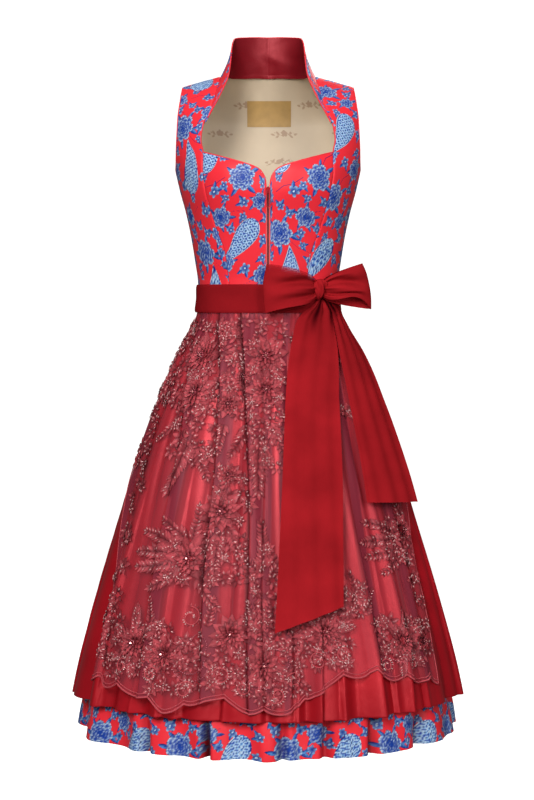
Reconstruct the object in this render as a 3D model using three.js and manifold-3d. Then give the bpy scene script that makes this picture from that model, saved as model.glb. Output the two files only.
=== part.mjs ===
// A sleeveless dirndl in its worn shape, with nobody in it: a printed bodice with a tall open collar, a satin
// skirt over a longer printed underskirt, a lace apron with raised flowers, and a wide sash tied in a bow.
// Millimetres. +Z is up, the front faces -Y and the wearer's left is +X. The origin is the middle of the line
// between the two shoulder seams, where the wearer's shoulders carry the dress.
//
// The dress is two smooth bodies, a torso and a flared skirt. Each is a function of the turn round the body
// (0 at centre front, a quarter turn at the side, a half turn at centre back), the height, and how far the
// cloth lies outside it. Every cut piece is a patch of one of them, and a wall of cloth lies between two
// distances from it.

import * as THREE from "three";
import Module from "manifold-3d";
import { mergeVertices } from "three/addons/utils/BufferGeometryUtils.js";

const { lerp, clamp, smoothstep, degToRad } = THREE.MathUtils;
const wasm = await Module();
wasm.setup();

// Heights of the main lines.
const WAIST_Z = -358;
const SASH_TOP_Z = -335;
const SASH_BOTTOM_Z = -382;
const SATIN_HEM_Z = -1027;
const PRINT_HEM_Z = -1090;
const NAPE_Z = 25;

// Thickness of each cloth, with its lining or its hem turned in, and the gap at a seam.
const BODICE_WALL = 2;
const FACING_WALL = 1;
const SATIN_WALL = 1.6;
const UNDERSKIRT_WALL = 1.6;
const APRON_WALL = 1.2;
const SASH_WALL = 1.5;
const SEAM = 0.3;
const SIDE = Math.PI / 2;

// The torso: half its width, and its depth in front of and behind the side seams.
const TORSO = [
  { z: -400, half: 121, front: 93, back: 80 },
  { z: -358, half: 118, front: 91, back: 78 },
  { z: -328, half: 119, front: 92, back: 79 },
  { z: -300, half: 123, front: 97, back: 82 },
  { z: -259, half: 129.5, front: 105, back: 86 },
  { z: -218, half: 138, front: 114, back: 92 },
  { z: -177, half: 149, front: 122, back: 99 },
  { z: -155, half: 154, front: 122, back: 102 },
  { z: -100, half: 164, front: 108, back: 105 },
  { z: -60, half: 167, front: 94, back: 103 },
  { z: 40, half: 168, front: 78, back: 97 },
];
const TORSO_SQUARENESS = 0.833;
const CUP = { x: 70, z: -168, rise: 9, spread: 36 };

// The line of the shoulder, where front meets back. It rises to the neck inside the collar.
const SHOULDER = [
  { x: 0, z: 88 },
  { x: 40, z: 52 },
  { x: 74, z: 18 },
  { x: 110, z: 7 },
  { x: 144, z: -3 },
  { x: 172, z: -14 },
];
const SHOULDER_START_Z = -60;
const NECK_X = 80;
const FRONT_ROUNDING = { climb: 1.35, depth: 0.75 };
const BACK_ROUNDING = { climb: 1.8, depth: 0.6 };

// The satin skirt at the bottom of its folds, and the depth of the folds there.
const SKIRT = [
  { z: -1100, half: 330, front: 256, back: 274, fold: 15 },
  { z: -1039, half: 319, front: 246, back: 264, fold: 14 },
  { z: -976, half: 306, front: 235, back: 253, fold: 13 },
  { z: -895, half: 286, front: 219, back: 238, fold: 12 },
  { z: -813, half: 265, front: 203, back: 222, fold: 11 },
  { z: -731, half: 243, front: 186, back: 205, fold: 10 },
  { z: -650, half: 221, front: 168, back: 186, fold: 9 },
  { z: -568, half: 195, front: 149, back: 166, fold: 8 },
  { z: -527, half: 181, front: 139, back: 155, fold: 7 },
  { z: -486, half: 166, front: 128, back: 142, fold: 6 },
  { z: -446, half: 148, front: 115, back: 127, fold: 5 },
  { z: -405, half: 126, front: 98, back: 104, fold: 3.5 },
  { z: -382, half: 118, front: 90, back: 79, fold: 1.8 },
  { z: -358, half: 116.5, front: 89.5, back: 76.5, fold: 1.4 },
];
const ROUND_FROM_Z = -480;
const SATIN_FOLDS = 26;
const PRINT_FOLDS = 16;

// A column of a table at any value of its key, by a smooth curve through the rows that never overshoots them.
function read(rows, column, at, key = "z") {
  const sorted = rows[0][key] < rows[rows.length - 1][key] ? rows : [...rows].reverse();
  const last = sorted.length - 1;
  const x = clamp(at, sorted[0][key], sorted[last][key]);
  let i = 0;
  while (i < last - 1 && x > sorted[i + 1][key]) i += 1;
  const step = (k) => sorted[k + 1][key] - sorted[k][key];
  const slope = (k) => (sorted[k + 1][column] - sorted[k][column]) / step(k);
  const tangent = (k) => {
    if (k === 0) return slope(0);
    if (k === last) return slope(last - 1);
    const [before, after] = [slope(k - 1), slope(k)];
    return before * after <= 0 ? 0 : (2 * before * after) / (before + after);
  };
  const h = step(i);
  const t = (x - sorted[i][key]) / h;
  const [t2, t3] = [t * t, t * t * t];
  return (
    (2 * t3 - 3 * t2 + 1) * sorted[i][column] +
    (t3 - 2 * t2 + t) * h * tangent(i) +
    (3 * t2 - 2 * t3) * sorted[i + 1][column] +
    (t3 - t2) * h * tangent(i + 1)
  );
}

// count + 1 numbers from low to high.
const spread = (count, low = 0, high = 1) =>
  Array.from({ length: count + 1 }, (_, i) => lerp(low, high, i / count));

const ridge = (x) => read(SHOULDER, "z", Math.abs(x), "x");

// A point of the torso. Above the shoulder's start, the depth closes to nothing at the shoulder's line.
function torso(turn, z, out = 0) {
  const inFront = Math.abs(turn) <= SIDE;
  const half = read(TORSO, "half", z);
  const across = Math.sign(turn) * Math.abs(Math.sin(turn)) ** TORSO_SQUARENESS;
  let depth = (read(TORSO, inFront ? "front" : "back", z) + out) * Math.abs(Math.cos(turn));
  if (inFront) {
    const off = Math.hypot(Math.abs(across * half) - CUP.x, z - CUP.z) / CUP.spread;
    depth += CUP.rise * Math.exp((-off * off) / 2);
  }
  let height = z;
  if (z > SHOULDER_START_Z) {
    const top = ridge(across * half);
    const climb = clamp((z - SHOULDER_START_Z) / (top - SHOULDER_START_Z), 0, 1);
    const rounding = inFront ? FRONT_ROUNDING : BACK_ROUNDING;
    depth *= (1 - climb ** rounding.climb) ** rounding.depth;
    height = lerp(SHOULDER_START_Z, top + out, climb);
  }
  const y = (inFront ? -1 : 1) * (depth + SEAM / 2);
  return new THREE.Vector3(across * (half + out), y, height);
}

// The turn at which the torso's front has the given x.
function turnAt(x, z) {
  const share = clamp(Math.abs(x) / read(TORSO, "half", z), 0, 1);
  return Math.sign(x) * Math.asin(share ** (1 / TORSO_SQUARENESS));
}

// A point of the smooth skirt. It has the torso's squarish section at the waist and an oval one lower down.
function skirt(turn, z, out = 0) {
  const side = Math.abs(turn) <= SIDE ? "front" : "back";
  const power = lerp(TORSO_SQUARENESS, 1, smoothstep(-z, -WAIST_Z, -ROUND_FROM_Z));
  const across = Math.sign(Math.sin(turn)) * Math.abs(Math.sin(turn)) ** power;
  return new THREE.Vector3(
    across * (read(SKIRT, "half", z) + out),
    -(read(SKIRT, side, z) + out) * Math.cos(turn),
    z,
  );
}

// The turn at which the skirt's front, that far out, has the given x.
const skirtTurn = (x, z, out) => Math.asin(clamp(x / (read(SKIRT, "half", z) + out), -1, 1));

// A soft fold from 0 to 1 and back over one turn of its phase, steeper on one side, as gathered cloth falls.
const foldWave = (phase) => 0.5 - 0.5 * Math.cos(phase + 0.45 * Math.sin(phase));

// The phase of a row of folds round the body, with widths that wander a little.
const foldPhase = (turn, folds) => folds * turn + 0.9 * Math.sin(3 * turn + 0.7) + 0.5 * Math.sin(7 * turn);

// How far the satin's folds stand out, and how far the underskirt's reach in.
function satinFold(turn, z) {
  const uneven = 0.8 + 0.2 * Math.sin(5 * turn + 1);
  return uneven * read(SKIRT, "fold", z) * foldWave(foldPhase(turn, SATIN_FOLDS));
}
function printFold(turn, z) {
  return 0.7 * read(SKIRT, "fold", z) * foldWave(foldPhase(turn, PRINT_FOLDS));
}

// A closed wall from grids of its outer and inner points, with columns that run with the turn and rows that
// rise. Where the columns close on themselves, it is a tube.
function wall(outer, inner, closed = false) {
  const columns = outer.length;
  const rows = outer[0].length;
  const positions = [];
  const push = (...points) => points.forEach((p) => positions.push(p.x, p.y, p.z));
  const quad = (a, b, c, d) => {
    if (a.distanceTo(c) <= b.distanceTo(d)) push(a, b, c, a, c, d);
    else push(a, b, d, b, c, d);
  };
  const spans = closed ? columns : columns - 1;
  for (let i = 0; i < spans; i += 1) {
    const k = (i + 1) % columns;
    for (let j = 0; j < rows - 1; j += 1) {
      quad(outer[i][j], outer[k][j], outer[k][j + 1], outer[i][j + 1]);
      quad(inner[i][j], inner[i][j + 1], inner[k][j + 1], inner[k][j]);
    }
    const top = rows - 1;
    quad(outer[i][0], inner[i][0], inner[k][0], outer[k][0]);
    quad(outer[i][top], outer[k][top], inner[k][top], inner[i][top]);
  }
  if (!closed) {
    const end = columns - 1;
    for (let j = 0; j < rows - 1; j += 1) {
      quad(outer[0][j], outer[0][j + 1], inner[0][j + 1], inner[0][j]);
      quad(outer[end][j], inner[end][j], inner[end][j + 1], outer[end][j + 1]);
    }
  }
  const geometry = new THREE.BufferGeometry();
  geometry.setAttribute("position", new THREE.Float32BufferAttribute(positions, 3));
  return geometry;
}

// A wall whose two faces come from one function of the column, the row and the distance out.
function patch(us, vs, point, outOuter, outInner, closed = false) {
  const face = (out) => us.map((u) => vs.map((v) => point(u, v, out)));
  return wall(face(outOuter), face(outInner), closed);
}

// The points of a grid moved along its own normals, outwards where the distance is positive.
function moved(grid, distance) {
  const columns = grid.length;
  const rows = grid[0].length;
  return grid.map((column, i) =>
    column.map((point, j) => {
      const along = grid[Math.min(i + 1, columns - 1)][j].clone().sub(grid[Math.max(i - 1, 0)][j]);
      const up = column[Math.min(j + 1, rows - 1)].clone().sub(column[Math.max(j - 1, 0)]);
      return point.clone().addScaledVector(along.cross(up).normalize(), distance);
    }),
  );
}

// A geometry as a manifold solid and back, for cutting one piece clear of its neighbours.
function solid(geometry) {
  const merged = mergeVertices(geometry, 1e-4);
  const mesh = new wasm.Mesh({
    numProp: 3,
    vertProperties: merged.attributes.position.array,
    triVerts: new Uint32Array(merged.index.array),
  });
  mesh.merge();
  return new wasm.Manifold(mesh);
}
function trimmed(geometry, cutters) {
  const rest = solid(geometry).subtract(wasm.Manifold.union(cutters.map(solid)));
  return fromSolid(rest.decompose().reduce((a, b) => (b.volume() > a.volume() ? b : a)));
}
function fromSolid(shape) {
  const mesh = shape.getMesh();
  const geometry = new THREE.BufferGeometry();
  geometry.setAttribute("position", new THREE.Float32BufferAttribute(mesh.vertProperties, mesh.numProp));
  geometry.setIndex([...mesh.triVerts]);
  return geometry.toNonIndexed();
}

const dress = new THREE.Group();

function finish(color, roughness, metalness = 0) {
  return new THREE.MeshStandardMaterial({ color, roughness, metalness, side: THREE.DoubleSide });
}
const PRINT = finish(0xf03e48, 0.45);
const SATIN = finish(0x9c1420, 0.3);
const ORGANZA = finish(0xa3161f, 0.55);
const LACE = finish(0x9a3546, 0.6);
const FLOWER = finish(0xa84858, 0.5);
const LINING = finish(0xcdb79a, 0.6);
const LABEL = finish(0x9a7d4a, 0.6);
const METAL = finish(0x8a1a20, 0.35, 0.6);

function add(name, geometry, material) {
  const mesh = new THREE.Mesh(geometry, material);
  geometry.computeVertexNormals();
  mesh.name = name;
  dress.add(mesh);
}

// Side front with its shoulder strap: the inner edge runs up the cup seam and then the neckline, the outer
// edge up the side seam and then the armhole. A row of the table is one line across the piece.
const SIDE_FRONT = [
  { step: 0, innerX: 63, innerZ: -357.7, outerX: 118, outerZ: -357.7 },
  { step: 1, innerX: 71, innerZ: -288, outerX: 126, outerZ: -288 },
  { step: 2, innerX: 87, innerZ: -241, outerX: 135, outerZ: -236 },
  { step: 3, innerX: 103, innerZ: -185, outerX: 151, outerZ: -192 },
  { step: 4, innerX: 108, innerZ: -150, outerX: 157, outerZ: -156 },
  { step: 5, innerX: 107.6, innerZ: -119, outerX: 154.6, outerZ: -132 },
  { step: 6, innerX: 111, innerZ: -98, outerX: 153.5, outerZ: -106 },
  { step: 7, innerX: 108, innerZ: -77, outerX: 152, outerZ: -80 },
  { step: 8, innerX: 100, innerZ: -56, outerX: 150.5, outerZ: -56 },
  { step: 9, innerX: 92, innerZ: -35, outerX: 148, outerZ: -34 },
  { step: 10, innerX: 86, innerZ: -10, outerX: 146, outerZ: -16 },
  { step: 11, innerX: 81, innerZ: 8, outerX: 144.5, outerZ: -6 },
  { step: 12, innerX: 80, innerZ: 16, outerX: 144, outerZ: -3 },
];
const CORNER_STEP = 5;
const CUP_STEPS = spread(2 * CORNER_STEP, 0, CORNER_STEP);
function sideFront(mirror, grown = 0) {
  const top = SIDE_FRONT.length - 1;
  const point = (share, step, out) => {
    const edge = (column) => read(SIDE_FRONT, column, step, "step");
    const x = lerp(edge("innerX"), edge("outerX"), share);
    const straight = lerp(edge("innerZ"), edge("outerZ"), share);
    const z = lerp(straight, ridge(x), smoothstep(step, top - 2, top));
    return torso(mirror * turnAt(x, z), z, out);
  };
  const shares = spread(5, -grown / 60, 1);
  const steps = [...CUP_STEPS, ...spread(top - CORNER_STEP - 1, CORNER_STEP + 1, top)];
  return patch(mirror > 0 ? shares : [...shares].reverse(), steps, point, grown, -BODICE_WALL - grown);
}
add("front_side_left", sideFront(1), PRINT);
add("front_side_right", sideFront(-1), PRINT);

// Centre front, one for each side of the zip: from the zip's edge to the curved seam over the cup. Its top
// edge is one lobe of the heart-shaped neckline. Its rows meet those of the side front at the seam.
const ZIP_EDGE_X = 2.6;
const NECKLINE_LOBE = [
  { share: 0, z: -173 },
  { share: 0.035, z: -160 },
  { share: 0.1, z: -150 },
  { share: 0.2, z: -144 },
  { share: 0.4, z: -137 },
  { share: 0.6, z: -131 },
  { share: 0.8, z: -125 },
  { share: 1, z: -119 },
];
function centreFront(mirror, grown = 0) {
  const point = (share, step, out) => {
    const seamZ = read(SIDE_FRONT, "innerZ", step, "step");
    const seamX = read(SIDE_FRONT, "innerX", step, "step") - SEAM;
    const rise = (seamZ - SIDE_FRONT[0].innerZ) / (SIDE_FRONT[CORNER_STEP].innerZ - SIDE_FRONT[0].innerZ);
    const z = lerp(SIDE_FRONT[0].innerZ, read(NECKLINE_LOBE, "z", share, "share"), rise);
    return torso(mirror * turnAt(lerp(ZIP_EDGE_X, seamX, share), z), z, out);
  };
  const shares = NECKLINE_LOBE.map((row) => row.share);
  return patch(mirror > 0 ? shares : [...shares].reverse(), CUP_STEPS, point, grown, -BODICE_WALL - grown);
}
add("front_centre_left", centreFront(1), PRINT);
add("front_centre_right", centreFront(-1), PRINT);

// Centre back, in one piece with the shoulders. The edge runs up the curved back seam to the armhole and on
// to the shoulder's tip.
const BACK_EDGE = [
  { step: 0, x: 42, z: -357.7 },
  { step: 1, x: 44, z: -300 },
  { step: 2, x: 52, z: -240 },
  { step: 3, x: 67, z: -190 },
  { step: 4, x: 90, z: -150 },
  { step: 5, x: 120, z: -119 },
  { step: 6, x: 152.5, z: -98 },
  { step: 7, x: 151, z: -60 },
  { step: 8, x: 148, z: -30 },
  { step: 9, x: 145, z: -10 },
  { step: 10, x: 144, z: -3 },
];
const ARMHOLE_STEP = 6;
const SHOULDER_STEP = BACK_EDGE.length - 1;
const backTopZ = (x) =>
  Math.abs(x) >= NECK_X ? ridge(x) : lerp(NAPE_Z, ridge(NECK_X), (x / NECK_X) ** 2);
const backTurn = (x, z) => (x >= 0 ? Math.PI : -Math.PI) - turnAt(x, z);

function backPoint(share, step, out) {
  const edgeZ = read(BACK_EDGE, "z", step, "step");
  const topX = share * BACK_EDGE[SHOULDER_STEP].x;
  const climb = (edgeZ - BACK_EDGE[0].z) / (BACK_EDGE[SHOULDER_STEP].z - BACK_EDGE[0].z);
  const z = lerp(BACK_EDGE[0].z, backTopZ(topX), climb);
  const x = share * read(BACK_EDGE, "x", step, "step");
  return torso(backTurn(x, z), z, out);
}
const BACK_SHARES = [-1, -0.94, -0.86, -0.76, -0.62, -0.42, -0.2, 0];
const acrossBack = [...BACK_SHARES, ...BACK_SHARES.slice(0, -1).reverse().map((share) => -share)];
const SIDE_BACK_STEPS = spread(8, 0, ARMHOLE_STEP);
const backSteps = [...SIDE_BACK_STEPS, ...spread(SHOULDER_STEP - ARMHOLE_STEP - 1, ARMHOLE_STEP + 1, SHOULDER_STEP)];
acrossBack.reverse();
function backCentre(grown = 0) {
  const shares = acrossBack.map((share) => share * (1 + grown / BACK_EDGE[SHOULDER_STEP].x));
  return patch(shares, backSteps, backPoint, grown, -BODICE_WALL - grown);
}
add("back_centre", backCentre(), PRINT);

// Side back: between the side seam and the curved back seam, up to the lower part of the armhole.
function sideBack(mirror, grown = 0) {
  const point = (share, step, out) => {
    const edge = backPoint(1, step, 0);
    const rise = step / ARMHOLE_STEP;
    const seamZ = edge.z;
    const seamTurn = Math.PI - turnAt(edge.x + SEAM, seamZ);
    const sideZ = lerp(WAIST_Z + SEAM, -157, rise);
    const z = lerp(seamZ, sideZ, share ** lerp(1, 0.7, rise));
    return torso(mirror * lerp(seamTurn, SIDE + 0.0001, share), z, out);
  };
  const shares = spread(6);
  return patch(mirror > 0 ? [...shares].reverse() : shares, SIDE_BACK_STEPS, point, grown, -BODICE_WALL - grown);
}
add("back_side_left", sideBack(1), PRINT);
add("back_side_right", sideBack(-1), PRINT);

// The collar stands on the back neck and on the inner edges of the straps, and leans in to its top edge.
// A row is one station of its left half, from centre back to the front end: bx and bz place its foot on the
// torso, behind or in front of the shoulder, and tx, ty and tz place its top edge.
const COLLAR = [
  { bx: 0, bz: 25, front: -1, tx: 0, ty: 68, tz: 89 },
  { bx: 22, bz: 24.4, front: -1, tx: 22, ty: 65, tz: 89 },
  { bx: 45, bz: 22.2, front: -1, tx: 42, ty: 55, tz: 87 },
  { bx: 62, bz: 19.6, front: -1, tx: 56, ty: 42, tz: 84 },
  { bx: 74, bz: 17.3, front: -1, tx: 60, ty: 26, tz: 77 },
  { bx: 80, bz: 15.9, front: 1, tx: 62, ty: 8, tz: 64 },
  { bx: 81, bz: 8, front: 1, tx: 63.5, ty: -10, tz: 42 },
  { bx: 86, bz: -10, front: 1, tx: 67, ty: -36, tz: 12 },
  { bx: 92, bz: -35, front: 1, tx: 79, ty: -60, tz: -20 },
  { bx: 99, bz: -54, front: 1, tx: 89, ty: -72, tz: -41 },
  { bx: 106, bz: -72, front: 1, tx: 100, ty: -82, tz: -62 },
];
function collarFoot(row) {
  const turn = row.front > 0 ? turnAt(row.bx, row.bz) : backTurn(row.bx, row.bz);
  const foot = torso(turn, row.bz);
  const axis = new THREE.Vector3(0, 15, foot.z);
  foot.addScaledVector(axis.sub(foot).normalize(), 3 * SEAM);
  foot.z += 2 * SEAM;
  return foot;
}
function collarGrid(low, high) {
  const half = COLLAR.map((row) => ({ foot: collarFoot(row), top: new THREE.Vector3(row.tx, row.ty, row.tz) }));
  const flip = (p) => new THREE.Vector3(-p.x, p.y, p.z);
  const right = half.slice(1).map(({ foot, top }) => ({ foot: flip(foot), top: flip(top) }));
  const stations = [...half.reverse(), ...right];
  const feet = new THREE.CatmullRomCurve3(stations.map((s) => s.foot), false, "centripetal");
  const tops = new THREE.CatmullRomCurve3(stations.map((s) => s.top), false, "centripetal");
  return spread(28).map((t) => {
    const foot = feet.getPoint(t);
    const top = tops.getPoint(t);
    return spread(2, low, high).map((rise) => foot.clone().lerp(top, rise));
  });
}
const collar = collarGrid(0, 1);
const collarWall = trimmed(wall(collar, moved(collar, -BODICE_WALL)), [
  sideFront(1, SEAM),
  sideFront(-1, SEAM),
  backCentre(SEAM),
]);
add("collar", collarWall, PRINT);
const facing = collarGrid(0.04, 0.97);
const facingOut = -(BODICE_WALL + SEAM);
const facingWall = trimmed(wall(moved(facing, facingOut), moved(facing, facingOut - FACING_WALL)), [
  sideFront(1, SEAM),
  sideFront(-1, SEAM),
  backCentre(SEAM),
]);
add("collar_facing", facingWall, SATIN);

// The lining of the back, which shows through the neckline, and the woven label sewn to it. The lining has
// the back's own columns and rows, so the two lie a seam's gap apart all over.
const liningOut = -(BODICE_WALL + SEAM);
const liningSteps = backSteps.slice(0, -1);
add("lining_back", patch(acrossBack, liningSteps, backPoint, liningOut, liningOut - FACING_WALL), LINING);
const LABEL_BOX = { left: -37, right: 41, bottom: -60, top: -15 };
const LABEL_WALL = 0.8;
const labelOut = liningOut - FACING_WALL - SEAM;
const labelWall = patch(
  spread(4, LABEL_BOX.right, LABEL_BOX.left),
  spread(2, LABEL_BOX.bottom, LABEL_BOX.top),
  (x, z, out) => torso(backTurn(x, z), z, out),
  labelOut,
  labelOut - LABEL_WALL,
);
const liningClear = patch(acrossBack, liningSteps, backPoint, liningOut + 1, labelOut);
add("label", trimmed(labelWall, [liningClear]), LABEL);

// The skirts, each in a front and a back panel with seams at the sides. The underskirt lies inside the satin
// and shows below it.
const SATIN_ROWS = [-358.3, -382, -408, -450, -520, -640, -820, SATIN_HEM_Z];
const PRINT_ROWS = [-358.3, -382, -408, -450, -640, SATIN_HEM_Z, PRINT_HEM_Z];
const SEAM_TURN = 0.0015;
const satinPoint = (turn, z, out) => skirt(turn, z, satinFold(turn, z) + out);
const printPoint = (turn, z, out) => skirt(turn, z, out - SATIN_WALL - 2 * SEAM - printFold(turn, z));
const panels = [
  { side: "front", from: -SIDE + SEAM_TURN, to: SIDE - SEAM_TURN },
  { side: "back", from: SIDE + SEAM_TURN, to: 3 * SIDE - SEAM_TURN },
];
for (const { side, from, to } of panels) {
  const fine = spread(2 * SATIN_FOLDS, from, to);
  const satinRows = [...SATIN_ROWS].reverse();
  const printRows = [...PRINT_ROWS].reverse();
  add(`satin_${side}`, patch(fine, satinRows, satinPoint, 0, -SATIN_WALL), SATIN);
  const coarse = spread(2.5 * PRINT_FOLDS, from, to);
  add(`underskirt_${side}`, patch(coarse, printRows, printPoint, 0, -UNDERSKIRT_WALL), PRINT);
}

// The apron: gathered at the waist, with side edges in degrees of turn, soft folds of its own and a hem cut
// in scallops.
const APRON_EDGE = [
  { z: -358, right: -86, left: 86 },
  { z: -480, right: -84, left: 84 },
  { z: -600, right: -80, left: 79 },
  { z: -720, right: -73, left: 73 },
  { z: -916, right: -66, left: 64 },
  { z: -1010, right: -63, left: 61 },
];
const APRON_TOP_Z = -358.3;
const APRON_LOW_Z = -1000;
const SCALLOPS = 11;
const SCALLOP_DEPTH = 12;
// The height of the hem's lobes, by share of the way from the right edge to the left one.
const APRON_HEM = [
  { share: 0, z: -986 },
  { share: 0.14, z: -991 },
  { share: 0.3, z: -1005 },
  { share: 0.44, z: -998 },
  { share: 0.52, z: -1009 },
  { share: 0.59, z: -1001 },
  { share: 0.65, z: -972 },
  { share: 0.75, z: -962 },
  { share: 0.83, z: -975 },
  { share: 0.93, z: -986 },
  { share: 1, z: -994 },
];
const APRON_FOLDS = [
  { turn: -70, depth: 7, spread: 5 },
  { turn: -47, depth: 6, spread: 5 },
  { turn: -29, depth: 5, spread: 4 },
  { turn: -5, depth: -8, spread: 3 },
  { turn: 2, depth: 7, spread: 4 },
  { turn: 24, depth: 6, spread: 5 },
  { turn: 37, depth: -6, spread: 3 },
  { turn: 46, depth: 7, spread: 4 },
  { turn: 57, depth: 6, spread: 3 },
];
function apronOut(turn, z) {
  const flare = smoothstep(-z, -APRON_TOP_Z, -APRON_LOW_Z);
  const degrees = (turn * 180) / Math.PI;
  const fromEdge = Math.min(degrees - read(APRON_EDGE, "right", z), read(APRON_EDGE, "left", z) - degrees);
  const stand = flare * smoothstep(fromEdge, 0, 14);
  const folds = APRON_FOLDS.reduce((sum, fold) => {
    const off = (degrees - fold.turn) / fold.spread;
    return sum + fold.depth * Math.exp((-off * off) / 2);
  }, 0);
  const gathers = 0.5 * read(SKIRT, "fold", z) * foldWave(foldPhase(turn, 34)) * (1 - 0.9 * flare);
  return read(SKIRT, "fold", z) + 2 * SEAM + APRON_WALL + gathers + stand * Math.max(folds + 8, 0);
}
function apronPoint(share, rise, out) {
  const scallop = SCALLOP_DEPTH * (1 - Math.abs(Math.cos(Math.PI * SCALLOPS * share))) * (1 - rise) ** 6;
  const z = lerp(read(APRON_HEM, "z", share, "share"), APRON_TOP_Z, rise) + scallop;
  const right = degToRad(read(APRON_EDGE, "right", z));
  const left = degToRad(read(APRON_EDGE, "left", z));
  const turn = lerp(right, left, share);
  return skirt(turn, z, apronOut(turn, z) + out);
}
const apronShares = spread(55);
const apronRises = [0, 0.05, 0.2, 0.44, 0.7, 0.86, 0.9225, 0.963, 1];
add("apron", patch(apronShares, apronRises, apronPoint, 0, -APRON_WALL), LACE);

// The sash: a band round the waist over everything, its bow at the wearer's left front and two tails.
const BAND_INNER = 4.3;
const bandPoint = (turn, z, out) => {
  const crease = 0.6 * Math.sin(9 * turn + 2) * Math.sin(degToRad((z - SASH_BOTTOM_Z) * 8));
  return torso(turn, z, out + crease);
};
const bandTurns = spread(48, -Math.PI, Math.PI).slice(0, -1);
const bandRows = spread(2, SASH_BOTTOM_Z, SASH_TOP_Z);
add("sash_band", patch(bandTurns, bandRows, bandPoint, BAND_INNER + SASH_WALL, BAND_INNER, true), ORGANZA);

// One loop of the bow: the ribbon runs out from the knot along the front and back along the rear, pinched at
// the knot and wide at the far end.
function loop({ start, end, startHalf, endHalf, bulge, lift }) {
  const away = end.clone().sub(start);
  const depth = new THREE.Vector3(away.y, -away.x, 0).normalize().multiplyScalar(Math.sign(away.x));
  const point = (t, across) => {
    const reach = (1 - Math.cos(2 * Math.PI * t)) / 2;
    const width = lerp(startHalf, endHalf, reach ** 0.7);
    const billow = bulge * Math.sin(2 * Math.PI * t) * (1 - 0.25 * across * across) + lerp(2, -2, t);
    const crumple = 2.5 * Math.sin(3 * Math.PI * across + 5 * t) * reach * (1 - reach);
    const base = start.clone().addScaledVector(away, reach * (1 - 0.07 * across * across));
    const arc = 4 * lift * reach * (1 - reach);
    return base.addScaledVector(depth, billow + crumple + arc).setZ(base.z + width * across);
  };
  const ts = away.x > 0 ? spread(14) : spread(14, 1, 0);
  const grid = ts.map((t) => spread(5, -1, 1).map((across) => point(t, across)));
  return wall(moved(grid, SASH_WALL / 2), moved(grid, -SASH_WALL / 2));
}
const RIGHT_LOOP = {
  start: new THREE.Vector3(82, -82, -346),
  end: new THREE.Vector3(-8, -118, -339),
  startHalf: 11,
  endHalf: 41,
  bulge: 12,
  lift: 12,
};
const LEFT_LOOP = {
  start: new THREE.Vector3(103, -80, -345),
  end: new THREE.Vector3(174, -62, -336),
  startHalf: 11,
  endHalf: 39,
  bulge: 12,
  lift: 4,
};

// The knot: a soft pillow between the loops, resting on the band. The loops end just clear of it.
const KNOT = { x: 92.5, z: -346, halfWidth: 12, halfHeight: 19, halfDepth: 14, raised: 13 };
const bandOut = BAND_INNER + SASH_WALL;
const bandClear = patch(bandTurns, bandRows, bandPoint, bandOut + SEAM, -10, true);
const bowClear = [bandClear, sideFront(1, 1), centreFront(1, 1), centreFront(-1, 1)];
function knot(grown = 0) {
  const surface = torso(turnAt(KNOT.x, KNOT.z), KNOT.z, bandOut);
  const ball = new THREE.SphereGeometry(1, 16, 8);
  ball.scale(KNOT.halfWidth + grown, KNOT.halfDepth + grown, KNOT.halfHeight + grown);
  ball.translate(KNOT.x, surface.y - KNOT.raised, KNOT.z);
  ball.deleteAttribute("uv");
  ball.deleteAttribute("normal");
  return ball.toNonIndexed();
}
add("bow_knot", trimmed(knot(), bowClear), ORGANZA);
add("bow_loop_right", trimmed(loop(RIGHT_LOOP), [...bowClear, knot(SEAM)]), ORGANZA);
add("bow_loop_left", trimmed(loop(LEFT_LOOP), [...bowClear, knot(SEAM)]), ORGANZA);

// The two tails hang over the apron from under the knot, with slanted ends. right and left are degrees of
// turn, out is the height of each edge over the apron's highest folds.
const FRONT_TAIL = [
  { z: -360, right: 37, left: 44.5, rightOut: 4.2, leftOut: 4.2 },
  { z: -370, right: 31, left: 48, rightOut: 4, leftOut: 4 },
  { z: -382, right: 23, left: 53, rightOut: 3, leftOut: 3 },
  { z: -400, right: 17, left: 51, rightOut: 1.5, leftOut: 2 },
  { z: -450, right: 12, left: 44, rightOut: 1, leftOut: 2 },
  { z: -530, right: 8, left: 35, rightOut: 1, leftOut: 3 },
  { z: -700, right: 4.5, left: 27, rightOut: 1, leftOut: 4 },
  { z: -890, right: 1.8, left: 21.5, rightOut: 2, leftOut: 4 },
];
const FRONT_TAIL_END = { right: -884, left: -846 };
const SIDE_TAIL = [
  { z: -360, right: 46, left: 53, rightOut: 4.2, leftOut: 4.2 },
  { z: -370, right: 50, left: 64, rightOut: 4, leftOut: 4 },
  { z: -382, right: 55, left: 74, rightOut: 3, leftOut: 3 },
  { z: -400, right: 53, left: 77, rightOut: 1.5, leftOut: 3 },
  { z: -450, right: 46, left: 75, rightOut: 1, leftOut: 5 },
  { z: -530, right: 42, left: 70, rightOut: 1, leftOut: 8 },
  { z: -700, right: 38, left: 64, rightOut: 2, leftOut: 16 },
];
const SIDE_TAIL_END = { right: -688, left: -694 };
const apronHeight = (z) =>
  read(SKIRT, "fold", z) * 1.5 + 14 * smoothstep(-z, -APRON_TOP_Z, -APRON_LOW_Z) + APRON_WALL + 2 * SEAM;
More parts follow.
